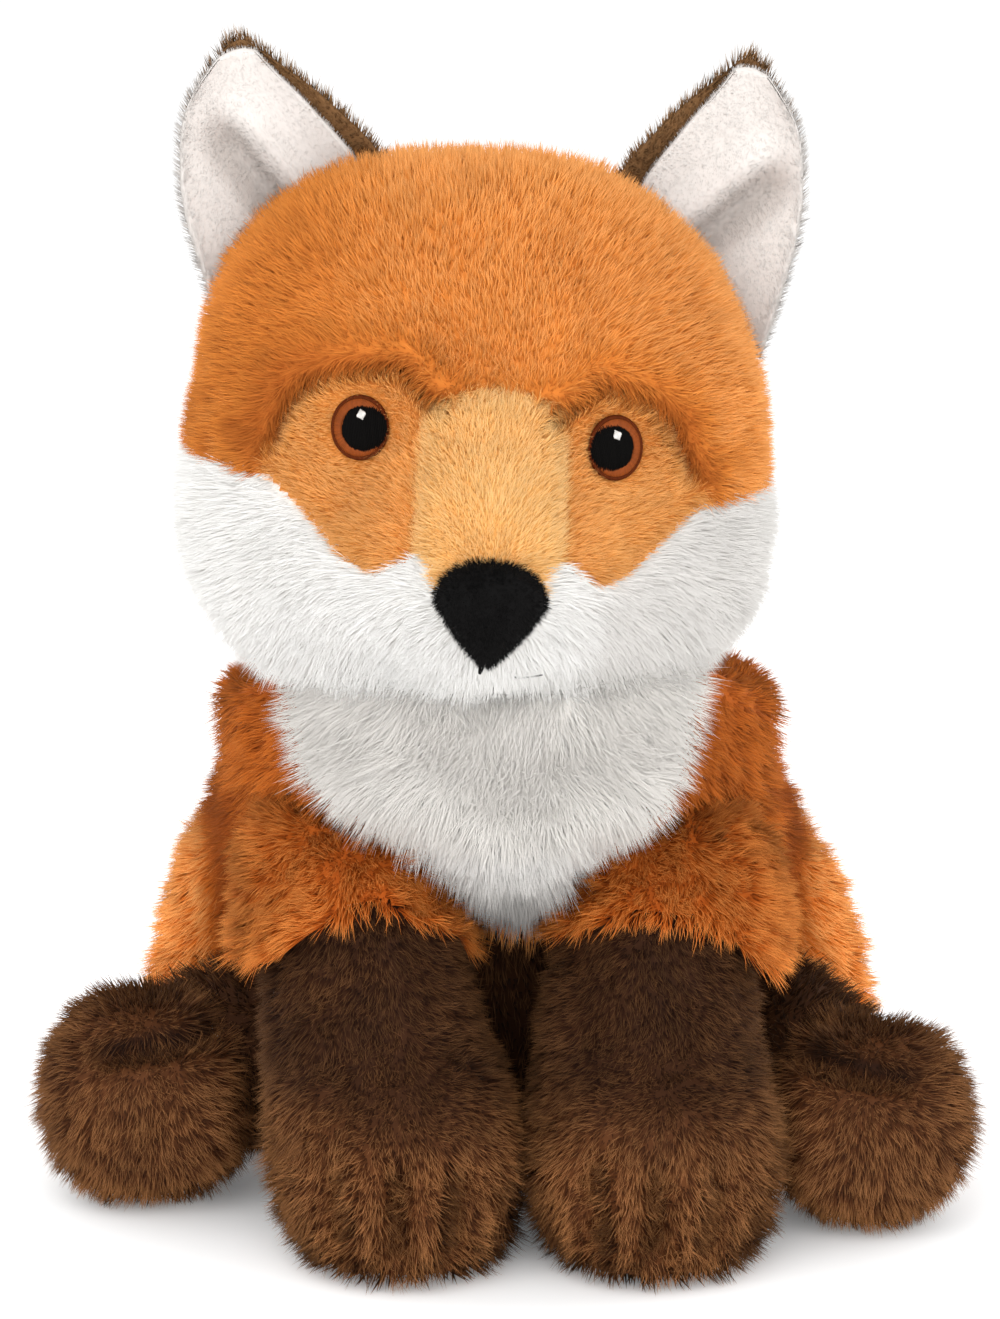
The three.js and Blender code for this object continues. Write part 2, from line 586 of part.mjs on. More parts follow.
// Forelegs: height and forward shares, then half width and half depth shares
const forelegShares = [
  [1.0, 0.0, 0.92, 0.90],
  [0.86, 0.0, 1.02, 1.0],
  [0.64, 0.2, 1.0, 0.96],
  [0.42, 0.5, 0.94, 0.94],
  [0.18, 0.9, 1.02, 1.12],
  [0.0, 1.0, 1.04, 1.16],
];
const hemShares = [[0, 1], [0.3, 0.95], [0.6, 0.6], [0.85, 0], [1.1, -0.3], [2, -0.3]];
const forelegSeam = spot(
  0, -torsoFront * forelegSeamShares.forward, forelegHeight * forelegSeamShares.high);
const legRoom = swept(torso.grown, forelegSeam, xAxis, 0, forelegReach);
const forelegs = {};
for (const [side, way, drift] of [["left", -1, leftPawDrift], ["right", 1, rightPawDrift]]) {
  const middle = torsoAside + way * forelegApart;
  const form = stuffedTube(forelegShares.map(([height, forward, wide, deep]) => ({
    centre: spot(middle + (1 - height) * drift, -forelegForward - forward * pawForward,
      height * (forelegHeight + floorCut) - floorCut),
    halfWidth: wide * forelegHalfWidth,
    halfDepth: deep * forelegHalfDepth,
  })), xAxis, forelegSquareness);
  const leg = stuffed(form, fineCounts.limb, coarseCounts.limb);
  const own = way < 0 ? leftOf(pawMeeting - seamGap) : rightOf(pawMeeting + seamGap);
  const trimmed = (solid) => solid.intersect(own).subtract(legRoom).subtract(below(0));
  const hemHalf = hemShares.map(([wide, high]) => [wide * forelegHalfWidth, hemHeight + high * hemArch]);
  const hemOutline = mirrored([...hemHalf, [2 * forelegHalfWidth, 2 * forelegHeight]])
    .map(([x, z]) => [x + middle, z]);
  const sleeve = frontPrism(hemOutline, -far, far);
  const sleeveGrown = frontPrism(grownOutline(hemOutline, seamGap), -far, far);
  const skin = trimmed(leg.outer.subtract(leg.hollow));
  const foreleg = carrier(plushFox, spot(middle, forelegSeam.y, forelegSeam.z));
  addPiece(foreleg, `foreleg_sleeve_${side}`, largest(skin.intersect(sleeve)), orangePile);
  addPiece(foreleg, `foreleg_sock_${side}`, largest(skin.subtract(sleeveGrown)), brownPile);
  addPiece(foreleg, `foreleg_stuffing_${side}`, largest(trimmed(leg.core)), fill);
  forelegs[side] = swept(leg.grown, foreleg.position, xAxis, -forelegReach, 0);
}

// Hind legs: a round shank out of the torso joined to a round foot
const shankShares = [[-0.6, 1.08], [0, 1.08], [0.5, 1.0], [1.15, 0.92]];
const feet = [["left", -1, leftFootForward, 1], ["right", 1, rightFootForward, rightFootShare]];
for (const [side, way, forward, size] of feet) {
  const hip = spot(torsoAside + way * hipApart, hipBack, hipHeight);
  const foot = spot(way * footApart, -forward, size * footHalfHeight - floorCut);
  const shank = stuffed(stuffedTube(shankShares.map(([along, thick]) => ({
    centre: hip.clone().lerp(foot, along),
    halfWidth: thick * hindlegRadius,
    halfDepth: thick * hindlegRadius,
  })), zAxis, shankSquareness), fineCounts.shank, coarseCounts.shank);
  const footRadius = (ahead) => boxRadius(
    ahead, size * footHalfWidth, footHalfDepth, size * footHalfHeight, footSquareness);
  const ball = stuffed(stuffedBall(footRadius), fineCounts.foot, coarseCounts.foot);
  const joined = (layer) => shank[layer].add(shifted(ball[layer], foot));
  const outward = way < 0 ? [-hindlegReach, 0] : [0, hindlegReach];
  const pivot = spot(way * hipApart * hipSeamShares.apart, hipBack * hipSeamShares.back, hipHeight);
  const room = swept(torso.grown, pivot, zAxis, -outward[1], -outward[0]);
  const trimmed = (solid) => solid.subtract(room).subtract(forelegs[side]).subtract(below(0));
  const ankle = new THREE.Matrix4().lookAt(foot, hip, zAxis)
    .setPosition(hip.clone().lerp(foot, ankleShare));
  const beyond = (gap) => placed(block(spot(-far, -far, gap), spot(far, far, far)), ankle);
  const skin = trimmed(joined("outer").subtract(joined("hollow")));
  const hindleg = carrier(plushFox, pivot);
  addPiece(hindleg, `hindleg_shank_${side}`, largest(skin.subtract(beyond(-seamGap / 2))), brownPile);
  addPiece(hindleg, `hindleg_foot_${side}`, largest(skin.intersect(beyond(seamGap / 2))), brownPile);
  addPiece(hindleg, `hindleg_stuffing_${side}`, largest(trimmed(joined("core"))), fill);
}

// Tail: it lies on the ground behind the fox and curls to the right
const tailShares = [
  // aside and back along the length, height and girth by the radius
  [0.0, -0.12, 0.7], [0.03, 0.10, 0.9], [0.22, 0.27, 1.0], [0.48, 0.27, 0.92], [0.72, 0.12, 0.4],
];
const tailForm = stuffedTube(tailShares.map(([aside, back, thick], i) => ({
  centre: spot(aside * tailLength, torsoBack + back * tailLength,
    i === 0 ? tailBaseHeight : Math.max(thick, tailRestShare) * tailRadius - floorCut),
  halfWidth: thick * tailRadius,
  halfDepth: thick * tailRadius,
})), zAxis, tailSquareness);
const tail = stuffed(tailForm, fineCounts.limb, coarseCounts.limb);
const tailSeam = spot(0, torsoBack * tailSeamShare, tailBaseHeight);
const tailRoom = swept(torso.grown, tailSeam, zAxis, -tailReach, tailReach);
const tailTrimmed = (solid) => largest(solid.subtract(tailRoom).subtract(below(0)));
const tailSkin = tail.outer.subtract(tail.hollow);
const tipFrom = tailLength * tailTipShare;
const tailGroup = carrier(plushFox, tailSeam);
addPiece(tailGroup, "tail_brush", tailTrimmed(tailSkin.subtract(rightOf(tipFrom - seamGap / 2))), orangePile);
addPiece(tailGroup, "tail_tip", tailTrimmed(tailSkin.intersect(rightOf(tipFrom + seamGap / 2))), whitePile);
addPiece(tailGroup, "tail_stuffing", tailTrimmed(tail.core), fill);

// The origin goes to the middle of the footprint
plushFox.updateMatrixWorld(true);
const footprint = new THREE.Box3().setFromObject(plushFox, true).getCenter(spot(0, 0, 0));
plushFox.position.set(-footprint.x, -footprint.y, 0);

export default plushFox;
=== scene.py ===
import json
import math

import bpy
import numpy as np
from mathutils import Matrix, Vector


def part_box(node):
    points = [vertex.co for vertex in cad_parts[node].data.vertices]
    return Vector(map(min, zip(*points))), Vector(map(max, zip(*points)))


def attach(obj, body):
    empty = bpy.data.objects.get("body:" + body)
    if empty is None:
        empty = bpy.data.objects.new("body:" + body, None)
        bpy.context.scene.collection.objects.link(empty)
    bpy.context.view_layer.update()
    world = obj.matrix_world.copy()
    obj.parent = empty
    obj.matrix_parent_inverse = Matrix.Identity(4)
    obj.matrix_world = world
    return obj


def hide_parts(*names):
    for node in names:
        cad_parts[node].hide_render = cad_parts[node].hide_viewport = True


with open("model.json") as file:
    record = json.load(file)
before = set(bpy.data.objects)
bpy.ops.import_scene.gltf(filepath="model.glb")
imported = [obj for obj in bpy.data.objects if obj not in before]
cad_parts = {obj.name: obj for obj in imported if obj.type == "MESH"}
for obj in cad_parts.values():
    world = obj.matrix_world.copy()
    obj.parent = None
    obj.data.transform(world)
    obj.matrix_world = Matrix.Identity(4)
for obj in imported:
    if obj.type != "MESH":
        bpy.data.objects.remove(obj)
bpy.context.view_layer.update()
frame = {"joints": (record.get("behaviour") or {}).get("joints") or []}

# A sitting plush fox in pile fabric. Metres, +Z up, the fox looks along -Y.

mm = 0.001
sides = ((-1, "left"), (1, "right"))
joints = {j["name"]: j for j in frame["joints"]}
neckSeam = np.array([-0.005, -0.028, 0.143])  # on the fox's own upright axis
axisAt = np.array(joints["head_turn"]["pos_m"]) - neckSeam  # that axis in the frame


# Camera

lens = {
    "distance": 1.15,
    "elevation": math.radians(12),
    "target": (0.0, -0.015, 0.150),
    "aim": (-0.0013, -0.0166, 0.1424),  # what lies in the middle of the picture
    "focal": 124.0,
    "sensor": 36,
}


def addCamera(s):
    data = bpy.data.cameras.new("camera")
    data.lens = s["focal"]
    data.sensor_width = s["sensor"]
    obj = bpy.data.objects.new("camera", data)
    target = np.array(s["target"]) + axisAt
    back = np.array([0, -math.cos(s["elevation"]), math.sin(s["elevation"])])
    obj.location = target + s["distance"] * back
    look = Vector(np.array(s["aim"]) + axisAt) - obj.location
    obj.rotation_euler = look.to_track_quat("-Z", "Y").to_euler()
    bpy.context.scene.collection.objects.link(obj)
    bpy.context.scene.camera = obj


addCamera(lens)
print("camera placed")


# Surfaces

def alongRows(rows, t):
    # a smooth curve through the rows of a table, t from 0 to 1 over the rows
    rows = np.asarray(rows, float)
    n = len(rows) - 1
    s = np.clip(t, 0, 1) * n
    i = np.minimum(s.astype(int), n - 1)
    f = (s - i)[:, None]
    a, b = rows[np.maximum(i - 1, 0)], rows[i]
    c, d = rows[i + 1], rows[np.minimum(i + 2, n)]
    return b + 0.5 * f * (c - a + f * (2 * a - 5 * b + 4 * c - d + f * (3 * (b - c) + d - a)))


def unit(v):
    return v / np.maximum(np.linalg.norm(v, axis=-1, keepdims=True), 1e-12)


def dot(a, b):
    return (a * b).sum(-1, keepdims=True)


def smoothStep(low, high, x):
    # 0 up to low, 1 from high on, and a soft rise between them
    f = np.clip((x - low) / (high - low), 0, 1)
    return f * f * (3 - 2 * f)


def bump(x, width, power=2):
    # 1 where x is 0, fading out to both sides: exp(-(x / width)^power)
    return np.exp(-(x / width) ** power)


def roundEnd(t, squareness):
    # width left at share t of a length whose two ends are round
    return np.maximum(1 - np.abs(2 * t - 1) ** squareness, 0) ** (1 / squareness)


def boxRadius(way, a, b, c, squareness):
    # distance to a rounded box: (|x/a|^s + |y/b|^s + |z/c|^s)^(-1/s)
    total = (np.abs(way[:, 0]) / a) ** squareness + (np.abs(way[:, 1]) / b) ** squareness
    return (total + (np.abs(way[:, 2]) / c) ** squareness) ** (-1 / squareness)


def quads(a, b, c, d):
    # faces with four corners as two triangles each
    return [np.stack([a, b, c], 1), np.stack([a, c, d], 1)]


def facingOut(spots, faces):
    # the faces of a closed form, turned round if its volume comes out below zero
    p = spots[faces]
    if (p[:, 0] * np.cross(p[:, 1], p[:, 2])).sum() < 0:
        return faces[:, ::-1]
    return faces


def closedSkin(point, around, along):
    # rings of point(u, v) between two poles, u once around, v from pole to pole
    u, v = np.meshgrid(np.arange(around) / around, np.arange(1, along) / along)
    ends = point(np.zeros(2), np.array([0.0, 1.0]))
    spots = np.vstack([ends[:1], point(u.ravel(), v.ravel()), ends[1:]])
    last = len(spots) - 1

    def at(i, j):
        return 1 + (j - 1) * around + i % around

    i = np.arange(around)
    fans = [np.stack([0 * i, at(i + 1, 1), at(i, 1)], 1)]
    fans += [np.stack([0 * i + last, at(i, along - 1), at(i + 1, along - 1)], 1)]
    i, j = (x.ravel() for x in np.meshgrid(np.arange(around), np.arange(1, along - 1)))
    faces = np.vstack(fans + quads(at(i, j), at(i + 1, j), at(i + 1, j + 1), at(i, j + 1)))
    return spots, facingOut(spots, faces)


def normalsOf(spots, faces):
    # at each spot the sum of the normals of its faces, each as long as the face is large
    p = spots[faces]
    flat = np.cross(p[:, 1] - p[:, 0], p[:, 2] - p[:, 0])
    total = np.stack([np.bincount(faces.ravel(), np.repeat(flat[:, k], 3), len(spots))
                      for k in range(3)], 1)
    return unit(total)


def ball(radius, around, along):
    # radius(way) times the way itself, with the poles in front and behind
    def point(u, v):
        turn, dip = 2 * np.pi * u, np.pi * v
        way = np.stack([np.cos(turn) * np.sin(dip), -np.cos(dip), np.sin(turn) * np.sin(dip)], 1)
        return way * radius(way)[:, None]
    return closedSkin(point, around, along)


def tube(rows, side, squareness, around, along):
    # rows of centre, half width and half depth; the ends are closed by roundEnd
    side = np.array(side, float)

    def point(u, v):
        t = (1 - np.cos(np.pi * v)) / 2
        row = alongRows(rows, t)
        ahead = unit(alongRows(rows, t + 0.01)[:, :3] - alongRows(rows, t - 0.01)[:, :3])
        across = unit(side - dot(ahead, side) * ahead)
        up = np.cross(ahead, across)
        cap = roundEnd(t, squareness)[:, None]
        turn = (2 * np.pi * u)[:, None]
        return (row[:, :3] + across * row[:, 3:4] * cap * np.cos(turn)
                + up * row[:, 4:5] * cap * np.sin(turn))
    return closedSkin(point, around, along)


def insideOutline(x, z, outline):
    # even and odd crossings of the outline by a line to the right
    inside = np.zeros(len(x), bool)
    for (ax, az), (bx, bz) in zip(outline, np.roll(outline, -1, axis=0)):
        crosses = (az > z) != (bz > z)
        if bz != az:
            inside ^= crosses & (x < ax + (z - az) * (bx - ax) / (bz - az))
    return inside


def gapToLine(x, z, line):
    # shortest distance to a line of straight stretches
    best = np.full(len(x), np.inf)
    for (ax, az), (bx, bz) in zip(line[:-1], line[1:]):
        wide, high = bx - ax, bz - az
        t = np.clip(((x - ax) * wide + (z - az) * high) / (wide * wide + high * high), 0, 1)
        best = np.minimum(best, np.hypot(x - ax - t * wide, z - az - t * high))
    return best


# Soft random fields on points in space

def hashed(cell, seed):
    # a random number from 0 to 1 for each whole-number cell
    x = cell[:, 0] * 73856093 ^ cell[:, 1] * 19349663 ^ cell[:, 2] * 83492791 ^ seed * 2654435
    x = (x ^ (x >> 13)) & 0x7FFFFFFF
    x = (x * 1274126177) & 0x7FFFFFFF
    x = ((x ^ (x >> 15)) * 48271) & 0x7FFFFFFF
    return (x & 0xFFFFFF) / 0xFFFFFF


def noise(p, size, seed):
    # random numbers at the corners of cubes, blended smoothly inside, -1 to 1
    q = p / size
    cell = np.floor(q).astype(np.int64)
    f = q - cell
    f = f * f * (3 - 2 * f)
    total = np.zeros(len(p))
    for corner in np.ndindex(2, 2, 2):
        share = np.prod(np.where(corner, f, 1 - f), axis=1)
        total += share * hashed(cell + corner, seed)
    return 2 * total - 1


def noiseWay(p, size, seed):
    # a direction made of three noises
    return np.stack([noise(p, size, seed + k) for k in range(3)], 1)


def tufts(p, size, seed):
    # the nearest of scattered tuft centres, one in each cube, and the tuft's own random numbers
    cell = np.floor(p / size).astype(np.int64)
    best = np.full(len(p), np.inf)
    centre, own = np.zeros_like(p), np.zeros((len(p), 4))
    for step in np.ndindex(3, 3, 3):
        near = cell + np.array(step) - 1
        spot = (near + np.stack([hashed(near, seed + k) for k in range(3)], 1)) * size
        gap = ((spot - p) ** 2).sum(1)
        closer = gap < best
        best[closer], centre[closer] = gap[closer], spot[closer]
        own[closer] = np.stack([hashed(near[closer], seed + 10 + k) for k in range(4)], 1)
    return centre, own


# Fabric: a closed backing and the strands of its pile

fabric = {
    "under": 0.0038, "pressed": 0.0012,  # the backing's depth under the pile, and where it rests
    "lump": 0.0008, "lumpSize": 0.017,  # of the stuffing under it
    "rooted": 0.0006,  # how deep a strand starts in the backing
    # how near the ground strands, the backing's two walls and a filling may come
    "floor": 0.0003, "inner": 0.0006, "outer": 0.0012, "filling": 0.0026,
    "resting": 0.006, "left": 0.15,  # up to this height under the fox, the share of strands left
}
shortPile = {
    "length": 0.0052, "width": 0.00032, "perMm2": 2.3, "lift": math.radians(56), "uneven": 0.14,
    "stray": 0.16, "tuft": 0.004, "gather": 0.25, "tousle": 0.1, "swirl": 0.25, "swirlSize": 0.02,
    "thickness": 0.0012,  # of the backing
    "ground": 0.45,  # the backing's share of the way from root to tip colour
    "soft": 0.8,  # how far a strand's shading follows the surface
    # the shade setting darkens the colour above 0 and lightens it below, mostly as painted shade and painted
    # light
    "shade": lambda p: np.zeros(len(p)),  # darker where it is above 0
    "longer": lambda p: np.ones(len(p)),
    "thin": lambda p, n: np.ones(len(p)),  # the share of strands that is kept
    "clear": lambda p: np.ones(len(p), bool),  # where strands may stand
    "backed": lambda p: np.ones(len(p), bool),  # where the panel has its backing
}


def makeObject(name, spots, faces, normals, values, cells):
    # triangles with their own normals, point values and a map with a square for each strand
    mesh = bpy.data.meshes.new(name)
    mesh.vertices.add(len(spots))
    mesh.vertices.foreach_set("co", spots.astype(np.float32).ravel())
    mesh.loops.add(3 * len(faces))
    mesh.loops.foreach_set("vertex_index", faces.astype(np.int32).ravel())
    mesh.polygons.add(len(faces))
    mesh.polygons.foreach_set("loop_start", np.arange(0, 3 * len(faces), 3, dtype=np.int32))
    for key, value in values.items():
        mesh.attributes.new(key, "FLOAT", "POINT").data.foreach_set(
            "value", value.astype(np.float32))
    mesh.attributes.new("custom_normal", "FLOAT_VECTOR", "POINT").data.foreach_set(
        "vector", normals.astype(np.float32).ravel())
    cell, where = cells  # which square a point lies in, and where in it
    across = math.ceil(math.sqrt(cell.max() + 1))
    spot = (np.stack([cell % across, cell // across], 1) + 0.08 + 0.84 * where) / across
    layer = mesh.uv_layers.new(name="OFBake")
    layer.uv.foreach_set("vector", spot[faces.ravel()].astype(np.float32).ravel())
    mesh.update(calc_edges=True)
    obj = bpy.data.objects.new(name, mesh)
    bpy.context.scene.collection.objects.link(obj)
    return obj


def inFrame(skin):
    # a skin from the fox's own axis to the frame
    return skin[0] + axisAt, skin[1], skin[2]


def sunken(spots, faces, dents=None):
    # the backing under the pile: moved in along its normals, less where it rests on the ground
    s = fabric
    normals = normalsOf(spots, faces)
    down = smoothStep(0.8, 1.0, -normals[:, 2]) * smoothStep(0.008, 0.002, spots[:, 2])
    depth = s["under"] + (s["pressed"] - s["under"]) * down
    depth = depth + s["lump"] * noise(spots + 0.5, s["lumpSize"], 5)
    if dents is not None:
        depth = depth + dents(spots)
    inner = spots - normals * depth[:, None]
    inner[:, 2] = np.maximum(inner[:, 2], s["outer"])
    return inner, faces, normalsOf(inner, faces)


def cutPatch(spots, faces, normals, kept, thickness):
    # the kept faces as a closed sheet: outer wall, inner wall and the rim between them
    faces = faces[kept]
    used, faces = np.unique(faces, return_inverse=True)
    faces = faces.reshape(-1, 3)
    spots, normals = spots[used], normals[used]
    n = len(spots)
    edges = np.vstack([faces[:, [0, 1]], faces[:, [1, 2]], faces[:, [2, 0]]])
    key = np.sort(edges, axis=1) @ np.array([n, 1])
    _, back, count = np.unique(key, return_inverse=True, return_counts=True)
    a, b = edges[count[back] == 1].T
    walls = np.vstack([faces, faces[:, ::-1] + n] + quads(b, a, a + n, b + n))
    inner = spots - normals * thickness
    inner[:, 2] = np.maximum(inner[:, 2], fabric["inner"])
    return np.vstack([spots, inner]), walls, np.vstack([normals, -normals])


strandFaces = np.array([[0, 2, 1], [0, 1, 3], [1, 2, 3], [2, 0, 3]])
strandMap = np.array([[0.0, 0.0], [1.0, 0.0], [0.5, 0.1], [0.5, 1.0]])
strandAlong = np.array([0.0, 0.0, 0.0, 1.0])


def strands(root, normal, tip, width, soft, rng):
    # each strand is a closed spike: three spots around its root and one at its tip
    way = unit(tip - root)
    side = unit(np.cross(way, np.where(np.abs(way[:, 2:]) < 0.9, [[0, 0, 1.0]], [[1.0, 0, 0]])))
    other = np.cross(way, side)
    start = rng.uniform(0, 2 * np.pi, len(root))
    lean = unit(normal - dot(normal, way) * way + 1e-6)  # square to the strand, facing out
    spots, normals = [], []
    corner = (0.58 * width)[:, None]  # from the middle, so that each side is as long as the width
    for k in range(3):
        turn = (start + 2 * np.pi * k / 3)[:, None]
        out = side * np.cos(turn) + other * np.sin(turn)
        spots.append(root + out * corner)
        normals.append(unit(lean + 0.3 * out + soft * normal))
    spots.append(tip)
    normals.append(unit(lean + (soft + 0.2) * normal))
    faces = (4 * np.arange(len(root))[:, None, None] + strandFaces).reshape(-1, 3)
    return np.stack(spots, 1).reshape(-1, 3), faces, np.stack(normals, 1).reshape(-1, 3)


def rootsOn(skin, loose, inPanel, s, rng):
    # random places in the panel, thinned out where the fox rests on them, and the share kept there
    spots, faces, normals = skin
    near = spots[faces[loose]]
    area = np.linalg.norm(np.cross(near[:, 1] - near[:, 0], near[:, 2] - near[:, 0]), axis=1) / 2
    count = int(area.sum() / mm ** 2 * s["perMm2"] * (1))
    chosen = rng.choice(len(area), count, p=area / area.sum())
    weight = rng.uniform(0, 1, (count, 2))
    weight = np.where(weight.sum(1, keepdims=True) > 1, 1 - weight, weight)
    weight = np.column_stack([1 - weight.sum(1), weight])[:, :, None]
    corners = faces[loose][chosen]
    root = (spots[corners] * weight).sum(1)
    normal = unit((normals[corners] * weight).sum(1))
    resting = (root[:, 2] < fabric["resting"]) & (normal[:, 2] < -0.75)
    share = (1 - (1 - fabric["left"]) * resting) * s["thin"](root, normal)
    allowed = inPanel(root) & s["clear"](root) & (rng.uniform(0, 1, count) < share)
    return root[allowed], normal[allowed], share[allowed]


def coat(name, skin, s, comb, inPanel, seed):
    # a panel of fabric: its closed backing with a pile of strands over it
    spots, faces, normals = skin
    rng = np.random.default_rng(seed)
    middle = spots[faces].mean(1)
    kept = inPanel(middle)
    base = cutPatch(spots, faces, normals, kept & s["backed"](middle), s["thickness"])
    root, normal, share = rootsOn(skin, kept | inPanel(spots)[faces].any(1), inPanel, s, rng)
    count = len(root)

    # a strand leaves its root between the combed way and the normal, and leans to its tuft
    lay = comb(root, normal)
    lay = unit(lay - dot(lay, normal) * normal)
    lay = unit(lay + s["swirl"] * noiseWay(root, s["swirlSize"], seed + 50))
    lift = s["lift"] * (1 + 0.35 * noise(root, s["swirlSize"] * 0.7, seed + 60))[:, None]
    length = s["length"] * (1 + s["uneven"] * rng.normal(0, 1, count).clip(-2, 1.5)) * s["longer"](root)
    way = unit(lay * np.cos(lift) + normal * np.sin(lift) + s["stray"] * rng.normal(0, 1, (count, 3)))
    centre, own = tufts(root, s["tuft"], seed)
    pull = centre - root
    pull = pull - dot(pull, normal) * normal
    tip = root + way * length[:, None] + s["gather"] * pull
    tip = tip + s["tousle"] * length[:, None] * (own[:, :3] - 0.5) * 2
    width = s["width"] * rng.uniform(0.75, 1.2, count) / np.sqrt(share)
    pile = strands(root - normal * fabric["rooted"], normal, tip, width, s["soft"], rng)

    # a shade above 0 draws the colour towards the root's, one below 0 only lifts the tone
    tone = own[:, 3] * 0.4 + rng.uniform(0, 1, count) * 0.6
    shade, under = s["shade"](root), s["shade"](base[0])
    tone = tone - np.where(shade > 0, 0.3, 1) * shade
    n = len(base[0])
    values = {
        "along": np.concatenate([s["ground"] * (1 - under.clip(0, 0.8)),
                                 np.outer(1 - shade.clip(0, 0.8), strandAlong).ravel()]),
        "tone": np.concatenate([0.5 - np.where(under > 0, 0.3, 1) * under, np.repeat(tone, 4)]),
    }
    cells = (np.concatenate([np.zeros(n, int), np.repeat(np.arange(count) + 1, 4)]),
             np.vstack([np.tile([0.5, 0.0], (n, 1)), np.tile(strandMap, (count, 1))]))
    allSpots = np.vstack([base[0], pile[0]])
    allSpots[:, 2] = np.maximum(allSpots[:, 2], fabric["floor"])
    obj = makeObject(name, allSpots, np.vstack([base[1], pile[1] + n]),
                     np.vstack([base[2], pile[2]]), values, cells)
    print(name, count, "strands,", len(obj.data.polygons), "triangles")
    return obj


# Materials

def linear(code):
    # a web colour as the shader's linear colour
    c = np.array([int(code[k:k + 2], 16) for k in (0, 2, 4)]) / 255
    c = np.where(c <= 0.04045, c / 12.92, ((c + 0.055) / 1.055) ** 2.4)
    return (*c, 1.0)


def pileMaterial(name, s):
    # root to tip colours, a lighter or darker strand here and there, and a slow mottle
    material = bpy.data.materials.new(name)
    material.use_nodes = True
    nodes, links = material.node_tree.nodes, material.node_tree.links
    shader = nodes["Principled BSDF"]
    shader.inputs["Roughness"].default_value = s.get("roughness", 0.75)
    shader.inputs["Specular IOR Level"].default_value = s.get("specular", 0.12)
    shader.inputs["Sheen Weight"].default_value = s.get("sheen", 0.12)
    shader.inputs["Sheen Roughness"].default_value = 0.5
    shader.inputs["Sheen Tint"].default_value = linear(s["tip"])

    along, tone = nodes.new("ShaderNodeAttribute"), nodes.new("ShaderNodeAttribute")
    along.attribute_name, tone.attribute_name = "along", "tone"
    ramp = nodes.new("ShaderNodeValToRGB")
    ramp.color_ramp.elements[0].color = linear(s["root"])
    ramp.color_ramp.elements[1].color = linear(s["tip"])
    ramp.color_ramp.elements[1].position = 0.95
    ramp.color_ramp.elements.new(0.42).color = linear(s["middle"])
    links.new(along.outputs["Fac"], ramp.inputs[0])

    def mapped(output, low, high, toLow, toHigh):
        spread = nodes.new("ShaderNodeMapRange")
        for socket, value in zip(("From Min", "From Max", "To Min", "To Max"), (low, high, toLow, toHigh)):
            spread.inputs[socket].default_value = value
        links.new(output, spread.inputs["Value"])
        return spread

    strand = mapped(tone.outputs["Fac"], 0, 1, *s.get("toneRange", (0.84, 1.10)))
    strand.clamp = False
    place = nodes.new("ShaderNodeTexCoord")
    mottle = nodes.new("ShaderNodeTexNoise")
    mottle.inputs["Scale"].default_value = s.get("mottleScale", 60)
    mottle.inputs["Detail"].default_value = 4
    links.new(place.outputs["Object"], mottle.inputs["Vector"])
    amount = s.get("mottle", 0.12)
    patch = mapped(mottle.outputs["Fac"], 0.3, 0.7, 1 - amount, 1 + amount * 0.6)
    both = nodes.new("ShaderNodeMath")
    both.operation = "MULTIPLY"
    colour = nodes.new("ShaderNodeVectorMath")
    colour.operation = "SCALE"
    links.new(strand.outputs["Result"], both.inputs[0])
    links.new(patch.outputs["Result"], both.inputs[1])
    links.new(ramp.outputs["Color"], colour.inputs[0])
    links.new(both.outputs[0], colour.inputs["Scale"])
    links.new(colour.outputs[0], shader.inputs["Base Color"])
    return material


coats = {
    "sleevePile": {"root": "6f2d06", "middle": "a94f10", "tip": "dd8a42", "mottle": 0.16, "mottleScale": 45},
    "orangePile": {"root": "8a3c0c", "middle": "c2651f", "tip": "e8a35e", "mottle": 0.14, "mottleScale": 45},
    "crownPile": {"root": "b25c1e", "middle": "dd8536", "tip": "f4ab66", "mottle": 0.08,
                  "mottleScale": 45, "toneRange": (0.80, 1.14)},
    "eyePile": {"root": "a0450c", "middle": "e29344", "tip": "f4b571", "mottle": 0.05,
                "toneRange": (0.80, 1.14)},
    "bridgePile": {"root": "b8641c", "middle": "fabb6c", "tip": "ffd698", "mottle": 0.04,
                   "toneRange": (0.82, 1.10)},
    "whitePile": {"root": "dfdbd6", "middle": "f2f0ec", "tip": "f8f7f4", "mottle": 0.02,
                  "toneRange": (0.97, 1.01), "sheen": 0.05},
    # the roots lighter than the tips: painted light in the depths of the bib's pile, where the strands shade
    # each other
    "bibWhite": {"root": "f0ede9", "middle": "e6e2dc", "tip": "dfdad4", "mottle": 0.02,
                 "toneRange": (0.96, 1.02), "sheen": 0.03},
    "liningPile": {"root": "c4bcb6", "middle": "d6d0cb", "tip": "e2deda", "mottle": 0.03,
                   "toneRange": (0.88, 1.04), "sheen": 0.03},
    "brownPile": {"root": "150903", "middle": "361c0b", "tip": "6e4a2b", "mottle": 0.22,
                  "toneRange": (0.65, 1.25)},
    "earPile": {"root": "4a3018", "middle": "765434", "tip": "a8845c", "mottle": 0.2},
    "blackThread": {"root": "020202", "middle": "060505", "tip": "090807", "sheen": 0.0,
                    "specular": 0.05, "roughness": 0.8, "mottle": 0.05},
    "irisThread": {"root": "46200a", "middle": "6c2f0e", "tip": "8c4618", "sheen": 0.0,
                   "specular": 0.12, "roughness": 0.5, "mottle": 0.1},
    "darkThread": {"root": "2a1006", "middle": "481c08", "tip": "5a260c", "sheen": 0.0,
                   "specular": 0.05, "roughness": 0.6, "mottle": 0.1},
    "whiteThread": {"root": "e8e6e2", "middle": "c4c1bc", "tip": "d0cdc9", "sheen": 0.0,
                    "specular": 0.4, "roughness": 0.5, "mottle": 0.03},
    "noseVelour": {"root": "020202", "middle": "080707", "tip": "171615", "sheen": 0.05,
                   "specular": 0.1, "roughness": 0.8, "mottle": 0.1},
}
materials = {name: pileMaterial(name, s) for name, s in coats.items()}
